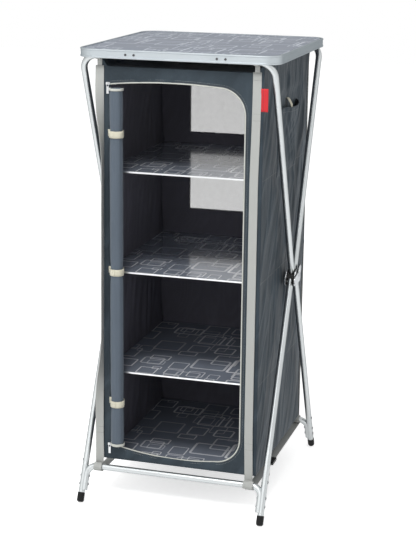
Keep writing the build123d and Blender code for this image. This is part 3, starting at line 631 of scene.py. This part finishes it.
def seam_cord(name, path, radius, material):
    """A thin round cord or piping along a path of points."""
    rows = []
    for i, spot in enumerate(path):
        ahead = Vector(path[min(i + 1, len(path) - 1)]) - Vector(path[max(i - 1, 0)])
        first = first - ahead * first.dot(ahead) / ahead.length_squared if rows else ahead.orthogonal()
        first.normalize()
        second = ahead.cross(first).normalized()
        rows.append([
            tuple(Vector(spot) + first * radius * math.cos(a) + second * radius * math.sin(a))
            for a in steps(0, 2 * math.pi, 9)[:-1]
        ])
    piece = cloth_piece(name, rows, material, gauge=0, ring=True)
    return piece


# Front panel
# One piece of the same cloth with the doorway cut out of it: square on the left, where the door
# is sewn on, and rounded on the right. The doorway's lower and upper edges sag a little.
door_left, door_right = -0.202, 0.199
# Heights of the doorway's two level edges at the left, in the middle and at the right corner.
low_edge = door_low_left, door_low, door_low_right = 0.181, 0.157, 0.163
high_edge = door_high_left, door_high, door_high_right = 1.277, 1.287, 1.281
door_corner = 0.075
corner_x = door_right - door_corner
edge_points, arc_points, side_points = 44, 15, 80
left_x, right_x = shift - half_wide, shift + half_wide


def sag(x, left, middle, right):
    """Height of a sagging edge that passes through three points, as a parabola."""
    u = (x - door_left) / (corner_x - door_left)
    return left * (1 - u) * (1 - 2 * u) + middle * 4 * u * (1 - u) + right * u * (2 * u - 1)


def doorway(inset=0.0):
    """Points round the doorway, from its top left corner by the right to its bottom left one."""
    radius = door_corner + inset
    high_arc_z, low_arc_z = door_high_right - door_corner, door_low_right + door_corner
    points = [(x, sag(x, *high_edge) + inset) for x in steps(door_left, corner_x, edge_points)]
    for angle in steps(math.pi / 2, 0, arc_points)[1:]:
        points.append((corner_x + radius * math.cos(angle), high_arc_z + radius * math.sin(angle)))
    points += [(door_right + inset, z) for z in steps(high_arc_z, low_arc_z, side_points)[1:]]
    for angle in steps(0, -math.pi / 2, arc_points)[1:]:
        points.append((corner_x + radius * math.cos(angle), low_arc_z + radius * math.sin(angle)))
    for x in steps(corner_x, door_left, edge_points)[1:]:
        points.append((x, sag(x, *low_edge) - inset))
    return points


hinge_side = steps(door_low_left, door_high_left, side_points + 1)[1:-1]
opening = doorway() + [(door_left, z) for z in hinge_side]
door_area = abs(sum(a[0] * b[1] - b[0] * a[1] for a, b in zip(opening, opening[1:] + opening[:1]))) / 2
middle = Vector(((door_left + door_right) / 2, (door_low + door_high) / 2))
left_webbing_room, webbing_room, webbing_ease = 0.012, 0.040, 0.02
front_slack, hanging_height, lying_height = 0.0010, 0.0042, 0.0034
corner_ease, pressed_flat = 0.04, 0.0003
rows = []
for t in steps(0, 1, 25):
    row = []
    for x, z in opening:
        u, v = x - middle.x, z - middle.y
        wide = (right_x - middle.x) if u > 0 else (middle.x - left_x)
        high = (top_z - middle.y) if v > 0 else (middle.y - bottom_z)
        scale = max(abs(u) / wide, abs(v) / high)
        edge = Vector((middle.x + u / scale, middle.y + v / scale))
        if v > 0:
            pull = raised(min(edge.x - left_x, right_x - edge.x))
            edge.y += pull * ease((edge.y - door_high) / corner_ease)
        spot = Vector((x, z)).lerp(edge, t)
        beside_strap = min(spot.x - (left_x + left_webbing_room), right_x - webbing_room - spot.x)
        loose = 4 * t * (1 - t) * ease(beside_strap / webbing_ease)
        hanging = crease(spot.y, spot.x, 5.2, 3.0, 30.0)
        lying = crease(spot.x, spot.y, 1.2, 4.0, 26.0)
        ripple = front_slack + hanging * hanging_height + lying * lying_height
        row.append((spot.x, -half_deep - max(-pressed_flat, ripple * loose), spot.y))
    rows.append(row)
front_cloth = cloth_piece("front_cloth", rows, slate_cloth, ring=True, lining=lining_painted_lighter)
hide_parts("front_panel")
full_area = 2 * half_wide * panel_height
least_share = 0.3
max(full_area - door_area, least_share * full_area)
hem_inset, hem_lift = 0.0105, 0.0012
hem_line = [(x, -half_deep - hem_lift, z) for x, z in doorway(hem_inset)]
stitch_rows("doorway_stitches", [(hem_line, (0, -1, 0))], thread_grey)

# Back panel
# The same cloth, drawn in with the rear edges, with two windows of knitted mesh that let air into
# the two upper compartments. Each mesh lies on the inner face, and is stitched to it all round.
window_half = 0.145
windows = [(0.809, 1.009), (1.063, 1.263)]
back_hollow, back_crease, window_ease = 0.0015, 0.004, 0.03


def back_face(x, z):
    """How far back the cloth of the back stands: drawn in most at its two edges."""
    edge = min(1, abs(x - shift) / half_wide)
    return half_deep - rear_draw * bay(z) * edge ** 4 - back_hollow * (1 - edge) * bay(z)


across = [shift + x for x in steps(-half_wide, -window_half, 12)]
across += [shift + x for x in steps(-window_half, window_half, 26)[1:]]
across += [shift + x for x in steps(window_half, half_wide, 12)[1:]]
upward = [bottom_z]
breaks = [bottom_z, *windows[0], *windows[1], top_z]
for low, high, count in zip(breaks, breaks[1:], (70, 18, 6, 18, 8)):
    upward += steps(low, high, count)[1:]
rows = []
for z in upward:
    row = []
    for x in across[::-1]:
        off = abs(x - shift)
        low, high = windows[0]
        beyond = 0 if low < z < high else min(abs(z - low), abs(z - high))
        beside_window = max(off - window_half, beyond)
        loose = ease(beside_window / window_ease) * min(1, rear_rise * (half_wide - off) / half_wide)
        row.append((x, back_face(x, z) - back_crease * abs(crease(z, x, 8.8, 3.0, 16.0)) * loose, z))
    rows.append(row)


def in_window(r, c):
    x = (across[::-1][c] + across[::-1][c + 1]) / 2
    z = (upward[r] + upward[r + 1]) / 2
    return abs(x - shift) < window_half and any(low < z < high for low, high in windows)


back_cloth = cloth_piece("back_cloth", rows, slate_cloth, skip=in_window, lining=lining_painted_lighter)
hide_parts("back_panel")

net, net_shader, work = blank_material("net")
place = work.add("ShaderNodeTexCoord", output="Object")
bars = waves(work, place, "XZ", 85.0)
yarn = cloud(work, 60.0, 3.0, place)
hole_width, hole_alpha, yarn_alpha = 0.62, 0.38, 0.3
feed(
    net_shader, work, alpha=(bars[0].at_least(bars[1]) > hole_width) * yarn_alpha + hole_alpha,
    base_color=work.mix(yarn, linear(186, 188, 186), linear(214, 216, 214)),
)
steady(net_shader, roughness=0.8, sheen_weight=0.2)
window_hem, net_depth, net_rows = 0.003, 0.0010, 14
reach = window_half + window_hem
rows = []
for low, high in windows:
    for z in steps(low - window_hem, high + window_hem, net_rows):
        rows.append([(x, back_face(x, z) - net_depth, z) for x in steps(shift - reach, shift + reach, 20)])
window_net = cloth_piece("window_net", rows, net, gauge=0, skip=lambda r, c: r == net_rows - 1)
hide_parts("mesh_windows")


def woven_tape(name, colour, rib):
    """Narrow woven tape: ribs across it, and a grain twice as fine along it, with painted shade in the dips
    of the weave.
    """
    rib_dip_shadow, dirt_shade, roughness, dirt_roughness = 0.76, 0.88, 0.8, 0.1
    material, shader, work = blank_material(name)
    place = work.add("ShaderNodeTexCoord", output="Object")
    ribs = waves(work, place, "Z", waves_per_thread / rib)[0]
    cross = waves(work, place, "X", 2 * waves_per_thread / rib)[0]
    dirt = cloud(work, 26.0, 4.0, place)
    weave = ribs * 0.7 + cross * 0.3
    bump = work.add("ShaderNodeBump", None, {"Strength": 0.5, "Distance": rib * 0.3, "Height": weave})
    # The dips of the weave are painted darker, as painted shade.
    clean = work.mix(weave, shaded(colour, rib_dip_shadow), colour)
    shade = work.mix(dirt * 0.5, clean, shaded(colour, dirt_shade))
    uneven = dirt * dirt_roughness + roughness - dirt_roughness / 2
    feed(shader, work, base_color=shade, roughness=uneven, normal=bump)
    steady(shader, sheen_weight=0.15)
    return material


frames = []
stitch_off, stitch_lift = 0.004, 0.0006
left, right = shift - window_half - stitch_off, shift + window_half + stitch_off
for low, high in windows:
    under, over = low - stitch_off, high + stitch_off
    runs = [((left, z), (right, z)) for z in (under, over)]
    runs += [((x, under), (x, over)) for x in (left, right)]
    for first, last in runs:
        spots = [Vector(first).lerp(Vector(last), t) for t in steps(0, 1, 12)]
        frames.append(([(x, back_face(x, z) + stitch_lift, z) for x, z in spots], (0, 1, 0)))
stitch_rows("window_stitches", frames, thread_grey)

# Roof and floor of the cabinet
# Two more panels of the cloth close the top and bottom; the roof hangs in a shallow sag between
# the straps, and the floor lies flat under its board. Piping covers the seams at the corners.
roof_across = steps(-1, -0.9, 8) + steps(-0.9, 0.9, 30)[1:-1] + steps(0.9, 1, 8)
for name, node, level, dip in (
    ("roof_cloth", "roof_panel", top_z - 0.001, 0.006),
    ("floor_cloth", "bottom_panel", bottom_z + 0.001, 0.0),
):
    rows = []
    for y in steps(-half_deep, half_deep, 40):
        row = []
        for u in roof_across:
            bowl = (1 - u ** 2) * (1 - (y / half_deep) ** 2)
            lifted = raised(half_wide * (1 - abs(u))) if dip else 0
            sagged = (dip - 0.25 * dip * crease(u, y, 4.4, 2.0, 14.0)) * bowl
            row.append((shift + half_wide * u, y, level + lifted - sagged))
        rows.append(row)
    panel = cloth_piece(name, rows, slate_cloth)
    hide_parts(node)

piping, piping_off, piping_ahead = 0.0014, 0.0004, 0.0002
for side, side_name in two_sides:
    x = shift + side * (half_wide + piping_off)
    front_run = [(x, -half_deep - piping_ahead, z) for z in steps(bottom_z, top_z + raised(0), 60)]
    rear_run = [(x, rear_edge(z), z) for z in steps(bottom_z, top_z + raised(0), 120)]
    seam_cord(f"front_piping_{side_name}", front_run, piping, slate_cloth)
    seam_cord(f"rear_piping_{side_name}", rear_run, piping, slate_cloth)

# Shelf ledges
# Doubled strips of the cloth, sewn along the side panels under each board. The three shelves lie
# loose on them.
ledge_offs = (0.2380, 0.2340, 0.2290, 0.2242)
ledge_front, ledge_back = -0.275, 0.276
ledge_drop, ledge_pucker, ledge_gauge = 0.0051, 0.0006, 0.0014
rows = []
for level in shelf_levels:
    for side in (-1, 1):
        for off in ledge_offs:
            rows.append([
                (shift + side * off, y, level - ledge_drop - ledge_pucker * abs(math.sin(y * 60)))
                for y in steps(ledge_front, ledge_back, 40)
            ])
ledges = cloth_piece(
    "ledge_strips", rows, lining_painted_lighter, gauge=ledge_gauge, skip=lambda r, c: (r + 1) % len(ledge_offs) == 0,
)
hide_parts("shelf_ledges")

# Zip round the doorway
# A dark tape is sewn on the front of the panel, and carries a pale nylon coil along its inner
# edge. Its two ends run out to the left, where the sliders are parked.
zip_inset, coil_wide, zip_wide = 0.0004, 0.0040, 0.007
zip_tail, zip_gauge = 0.014, 0.0004


def zip_strip(name, section, inner, outer, material):
    """A strip that follows the doorway, from (share of its width, height) pairs of its section."""
    lines = []
    for line in (doorway(inner), doorway(outer)):
        tails = [(door_left - zip_tail, line[end][1]) for end in (0, -1)]
        lines.append(tails[:1] + line + tails[1:])
    rows = []
    for share, proud in section:
        rows.append([
            (a[0] + (b[0] - a[0]) * share, -half_deep - proud, a[1] + (b[1] - a[1]) * share)
            for a, b in zip(*lines)
        ])
    piece = cloth_piece(name, rows, material, gauge=zip_gauge)
    return piece


tape_section = [(0.0, 0.0007), (0.5, 0.0009), (0.94, 0.0009), (1.0, 0.0005)]
coil_section = [(0.0, 0.0008), (0.2, 0.0012), (0.5, 0.0014), (0.8, 0.0012), (1.0, 0.0009)]
slate_tape = woven_tape("slate_tape", linear(62, 68, 74), 0.0011)
pale_tape = woven_tape("pale_tape", linear(220, 216, 196), 0.0011)
zip_coil_stuff = woven_tape("zip_coil_stuff", linear(206, 208, 200), 0.0011)
zip_tape = zip_strip("zip_tape", tape_section, zip_inset, zip_wide, slate_tape)
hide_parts("zip_track")
zip_strip("zip_coil", coil_section, zip_inset, coil_wide, zip_coil_stuff)
for end in ("top", "bottom"):
    paint(f"zip_slider_{end}", plate_metal)
    paint(f"zip_pull_{end}", plate_metal)

# Rolled-up door
# The door is a sheet of the cloth sewn along the left of the doorway, rolled up lengthways and
# bulging between its three ties. A pale binding runs along the sheet's ends.
roll_x, roll_y = -0.177, -0.3032
roll_radius, roll_waist = 0.0200, 0.0186
roll_low, roll_high = 0.184, 1.270
tie_levels = [0.319, 0.729, 1.138]
tie_half, waist_reach = 0.010, 0.022
tuck, tuck_reach = 0.0022, 0.006


def roll_size(z):
    """Radius of the roll at a height: drawn in at the ties and tucked at the ends."""
    size = roll_radius
    for level in tie_levels:
        distance = max(0, abs(z - level) - tie_half)
        size -= (roll_radius - roll_waist) * math.exp(-((distance / waist_reach) ** 2))
    end = min(z - roll_low, roll_high - z)
    return size - tuck * math.exp(-end / tuck_reach)


# The roll is a lighter copy of the slate cloth: painted light for the roll standing out in the lamps'
# light.
lit_roll_cloth = woven("lit_roll_cloth", linear(90, 100, 111), 0.0006, roughness=0.65)
turn_steps = 56
lap_thick, lap_angle = 0.0011, 0.6
roll_fold, roll_ring, tie_free = 0.0012, 0.0007, 0.05
body_rows = []
for z in steps(roll_low, roll_high, 170):
    row = []
    for i in range(turn_steps):
        angle = 2 * math.pi * i / turn_steps
        lap = lap_thick * (1 - ((angle - lap_angle) % (2 * math.pi)) / (2 * math.pi))
        free = min(1, min(abs(z - level) for level in tie_levels) / tie_free)
        fold = crease(z, angle * 0.045, 6.3, 3.2, 34.0) * roll_fold * free
        ring = crease(angle * 0.05, z, 1.7, 9.0, 26.0) * roll_ring * free
        r = roll_size(z) - lap_thick + lap + fold + ring
        row.append((roll_x + r * math.cos(angle), roll_y - r * math.sin(angle), z))
    body_rows.append(row)


def roll_end(edge, inward):
    """The end of the roll: rings that step up and down where the layers of the sheet show."""
    layers, end_dip, layer_step = 3.5, 0.002, 0.0028
    rings = []
    for share in (0.92, 0.8, 0.62, 0.45, 0.28, 0.1):
        ring = []
        for i, (x, y, z) in enumerate(edge):
            layer = (share * layers + i / turn_steps) % 1
            dip = inward * (end_dip + layer_step * (layer > 0.5))
            ring.append((roll_x + (x - roll_x) * share, roll_y + (y - roll_y) * share, z + dip))
        rings.append(ring)
    return rings


rows = roll_end(body_rows[0], 1)[::-1] + body_rows + roll_end(body_rows[-1], -1)
door_cloth = cloth_piece("door_cloth", rows, lit_roll_cloth, gauge=0, ring=True)
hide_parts("door_roll")
flap_left, flap_right, flap_end, tie_room = -0.2100, -0.186, 0.008, 0.018
flap_lift, flap_bulge, flap_ripple, flap_rows = 0.0012, 0.0009, 0.0003, 20
edges = [roll_low + flap_end]
for level in tie_levels:
    edges += [level - tie_room, level + tie_room]
edges.append(roll_high - flap_end)
rows = []
for low, high in zip(edges[::2], edges[1::2]):
    for z in steps(low, high, flap_rows):
        ripple = flap_ripple * noise.noise(Vector((0, 0, z * 30)))
        row = []
        for x in steps(flap_left, flap_right, 6):
            bulge = flap_bulge * abs(math.sin((x - flap_left) * 90))
            row.append((x, -half_deep - flap_lift - bulge - ripple, z))
        rows.append(row)
flap = cloth_piece(
    "door_flap", rows, slate_cloth, gauge=0.0010, skip=lambda r, c: (r + 1) % flap_rows == 0,
)


def band(name, path, low, high, material, gauge):
    """A tape standing on edge along a path of (x, y) points, between two heights."""
    rows = [[(x, y, z) for x, y in path] for z in steps(low, high, 4)]
    piece = cloth_piece(name, rows, material, gauge=gauge)
    return piece


def round_roll(radius, first, last, count):
    """Points on a stretch of a circle round the middle of the roll."""
    turn = steps(first, last, count)
    return [(roll_x + radius * math.cos(a), roll_y - radius * math.sin(a)) for a in turn]


binding_radius, binding_over, binding_gauge = 0.0207, 0.35, 0.0009
binding_path = round_roll(binding_radius, -binding_over, math.pi + binding_over, 40)
for end, low, high in (
    ("low", roll_low + 0.001, roll_low + 0.009),
    ("high", roll_high - 0.006, roll_high + 0.001),
):
    binding = band(f"door_binding_{end}", binding_path, low, high, zip_coil_stuff, binding_gauge)
    if end == "low":
        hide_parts("door_trim")

# Ties
# Short lengths of cream webbing, sewn to the panel beside the doorway, passed round the roll and
# closed on themselves.
tie_radius = roll_waist + 0.0011
tie_lift, tie_gauge, lap_inset, lap_gauge = 0.0009, 0.0012, 0.0008, 0.0011
tie_path = [(x, -half_deep - tie_lift) for x in steps(flap_left, roll_x - 0.008, 8)]
tie_path += [(roll_x + 0.004, -half_deep - tie_lift), (roll_x + tie_radius * 0.8, -half_deep - 0.002)]
tie_path += round_roll(tie_radius, -0.75, math.pi + 0.65, 44)
lap_path = round_roll(tie_radius + 0.0013, 1.55, math.pi + 0.2, 20)
for number, level in enumerate(tie_levels):
    low, high = level - tie_half, level + tie_half
    tie = band(f"tie_{number}", tie_path, low, high, pale_tape, tie_gauge)
    band(f"tie_lap_{number}", lap_path, low + lap_inset, high - lap_inset, pale_tape, lap_gauge)
    if number == 0:
        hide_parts("tie_straps")

# Webbing straps
# Grey webbing, 25 mm wide, looped round each upper crossbar by a narrower tail, run down the edge
# of the cabinet, and looped round the lower crossbar. Two more lengths pass under the cabinet.
webbing = woven_tape("webbing", linear(182, 184, 181), 0.0016)
high_bar_y, high_bar_z = 0.2945, 1.3617
low_bar_y, low_bar_z = 0.3003, 0.106
high_loop, low_loop = 0.0106, 0.0113
high_run_y, low_run_y = 0.2839, 0.2890
strap_x, tail_x = 0.2395, 0.234
webbing_wide, tail_wide = 0.025, 0.014
webbing_gauge, tail_gauge = 0.0014, 0.0013
neck_z = high_bar_z - 0.030
strap_ripple, strap_lift, stitch_reach = 0.0003, 0.0009, 0.42
sewn_levels = (neck_z - 0.003, neck_z - 0.022, 1.215, 1.196, 0.232, 0.213)


def ribbon(name, path, width, x, gauge=webbing_gauge, sway=None):
    """A flat tape along a path of (y, z) points, across X unless sway moves and turns it."""
    rows = []
    for y, z in path:
        aside, angle = sway(z) if sway else (0, 0)
        row = []
        for u in (-0.5, -0.46, -0.2, 0.2, 0.46, 0.5):
            from_edge = (0.5 - u) * width
            spot_x = x + aside + width / 2 - from_edge * math.cos(angle)
            row.append((spot_x, y - from_edge * math.sin(angle), z))
        rows.append(row)
    piece = cloth_piece(name, rows, webbing, gauge=gauge)
    return piece


def run_y(z):
    """How far out the middle of a strap stands: it slants outward to the lower crossbar."""
    return high_run_y + (low_run_y - high_run_y) * (high_bar_z - z) / (high_bar_z - low_bar_z)


def left_sway(z):
    """The slack front left strap turns edge on between its two ends, and leans to the left below."""
    flat_above, flat_below, edge_on = 1.35, 0.21, 1.62
    low_lean, rise = -0.0015, 0.0075
    turned = ease((flat_above - z) / 0.30) * ease((z - flat_below) / 0.31)
    return low_lean + rise * (z - low_bar_z) / (high_bar_z - low_bar_z), edge_on * turned


def right_sway(z):
    """The front right strap bows a little toward the doorway."""
    lean, bow, low_return = -0.0055, 0.0045, 0.003
    return lean - bow * ease((1.28 - z) / 0.3) + low_return * ease((0.3 - z) / 0.2), 0.0


def bar_loop(end_side, bar_y, bar_z, radius, start):
    """A full turn of webbing round a crossbar, over it first where start is 1, else under it."""
    return [
        (end_side * (bar_y - radius * math.cos(a)), bar_z + start * radius * math.sin(a))
        for a in steps(0, 2 * math.pi, 40)
    ]


sways = {"front_left": left_sway, "front_right": right_sway}
strap_stitches = []
for end_side, end in ((-1, "front"), (1, "rear")):
    for side, side_name in two_sides:
        tail = [(end_side * run_y(z), z) for z in steps(neck_z, high_bar_z, 6)]
        tail += bar_loop(end_side, high_bar_y, high_bar_z, high_loop, 1)
        ribbon(f"{end}_tail_{side_name}", tail, tail_wide, side * tail_x, gauge=tail_gauge)
        run = []
        for z in steps(neck_z, low_bar_z, 90):
            run.append((end_side * (run_y(z) + strap_ripple * math.sin(z * 31 + side)), z))
        run += bar_loop(end_side, low_bar_y, low_bar_z, low_loop, -1)
        sway = sways.get(f"{end}_{side_name}")
        strap = ribbon(f"{end}_webbing_{side_name}", run, webbing_wide, side * strap_x, sway=sway)
        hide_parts(f"{end}_strap_{side_name}")
        for z in sewn_levels:
            face_y = end_side * (run_y(z) + strap_lift)
            aside, angle = sway(z) if sway else (0, 0)
            middle_x = side * strap_x + aside
            path = [(middle_x + u * webbing_wide, face_y, z) for u in (-stitch_reach, stitch_reach)]
            if angle < 0.1:
                strap_stitches.append((path, (0, end_side, 0)))
strap_thread = woven("strap_thread", linear(120, 121, 118), 0.0003)
stitch_rows("strap_stitches", strap_stitches, strap_thread, pitch=0.0034, length=0.0026)

hook, under_sag = 0.0132, 0.0005
under_z = low_bar_z - hook
half_turn = steps(0, math.pi, 20)
under_path = [(-low_bar_y - hook * math.sin(a), low_bar_z + hook * math.cos(a)) for a in half_turn]
for y in steps(-low_bar_y, low_bar_y, 60)[1:-1]:
    under_path.append((y, under_z - under_sag * (1 - (y / low_bar_y) ** 2)))
under_path += [(low_bar_y + hook * math.sin(a), low_bar_z - hook * math.cos(a)) for a in half_turn]
for side, side_name in two_sides:
    strap = ribbon(f"under_webbing_{side_name}", under_path, webbing_wide, side * strap_x)
    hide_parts(f"bottom_strap_{side_name}")
paint("strap_buckle", black_plastic)

# Side pocket and tags
# A pocket of the same cloth is sewn on the right side, and its full mouth is held by a snap and a
# cream tab. A blank tag stands in the front seam, and another hangs from a strap below.
foot_depth, mouth_depth, most_depth, pocket_off = 0.005, 0.0165, 0.0180, 0.0008
snap_share, snap_reach, snap_pinch = 0.2, 0.14, 0.55
fold_starts, fold_slant, fold_width = (0.10, 0.27, 0.42, 0.62), 0.55, 0.035
fan_height, fold_height = 0.0034, 0.0062
mouth_sag, mouth_wave = 0.010, 0.003


def pocket_face(v, t):
    """How far out the pocket stands at shares of its width and height, creased from its corners."""
    full = max(0.0, 1 - abs(2 * v - 1) ** 4)
    mouth = 1 - snap_pinch * math.exp(-(((v - snap_share) / snap_reach) ** 2)) * t ** 2
    depth = (foot_depth * min(1, 8 * t) + mouth_depth * t ** 1.4) * full * mouth
    fan = noise.noise(Vector(((v - 0.5) * 9 / (1.35 - t * 0.6), t * 1.6, 4.7)))
    fold = sum(math.exp(-(((v - start - fold_slant * (1 - t)) / fold_width) ** 2)) for start in fold_starts)
    folds = (fan_height * fan + fold_height * (fold - 0.3)) * full * min(1, 5 * t) * (1.15 - t)
    return right_x + pocket_off + min(most_depth, max(0.0, depth + folds))


rows = []
for z in steps(pocket_low, pocket_high, 60):
    t = (z - pocket_low) / (pocket_high - pocket_low)
    row = []
    for y in steps(pocket_front, pocket_back, 80):
        v = (y - pocket_front) / (pocket_back - pocket_front)
        wave = mouth_wave * noise.noise(Vector((v * 5, 0, 3)))
        dip = (mouth_sag * math.sin(math.pi * v ** 1.5) + wave) * t ** 3
        row.append((pocket_face(v, t), y, z - dip))
    rows.append(row)
pocket = cloth_piece("pocket_cloth", rows, slate_cloth, lining=lining_painted_lighter)
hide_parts("side_pocket")
lip_radius = 0.0013
seam_cord("pocket_lip", rows[-1], lip_radius, slate_cloth)
stitch_in, hem_off, side_off, foot_off = 0.002, 0.0006, 0.0012, 0.0016
foot_z = pocket_low + stitch_in
paths = [[(x + hem_off, y, z) for x, y, z in rows[-5]]]
paths.append([(right_x + foot_off, y, foot_z) for y in steps(pocket_front, pocket_back, 30)])
for y in (pocket_front + stitch_in, pocket_back - stitch_in):
    paths.append([(right_x + side_off, y, z) for z in steps(foot_z, pocket_high, 20)])
stitch_rows("pocket_stitches", [(path, (1, 0, 0)) for path in paths], thread_grey)
paint("pocket_snap", pale_tape)
tab_front, tab_back = -0.016, 0.004
tab_path = ((0.2528, 1.228), (0.2570, 1.227), (0.2620, 1.220), (0.2675, 1.209), (0.2700, 1.196))
rows = [[(x, y, z) for y in steps(tab_front, tab_back, 5)] for x, z in tab_path]
tab = cloth_piece("pocket_tab", rows, pale_tape, gauge=0.0014)

tag_cloth = woven_tape("tag_cloth", linear(212, 40, 48), 0.0007)
tag_in, tag_wide, tag_y, tag_curl = 0.0065, 0.021, -0.2848, 0.0012
tag_low, tag_high = 1.222, 1.287
rows = [
    [(right_x - tag_in + tag_wide * u, tag_y + tag_curl * math.sin(u * 2.4), z) for u in steps(0, 1, 8)]
    for z in steps(tag_low, tag_high, 12)
]
side_tag = cloth_piece("blank_tag", rows, tag_cloth, gauge=0.0007)
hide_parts("side_tag")
care_cloth = woven_tape("care_cloth", linear(236, 236, 232), 0.0007)
care_off, care_curl, care_low, care_long = 0.0004, 0.003, 0.0696, 0.024
care_front, care_back = -0.141, -0.115
rows = [
    [
        (right_x + care_off + care_curl * (1 - w) ** 2, y, care_low + care_long * w)
        for y in steps(care_front, care_back, 8)
    ]
    for w in steps(0, 1, 8)
]
strap_tag = cloth_piece("blank_strap_tag", rows, care_cloth, gauge=0.0006)
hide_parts("strap_tag")

low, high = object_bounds()
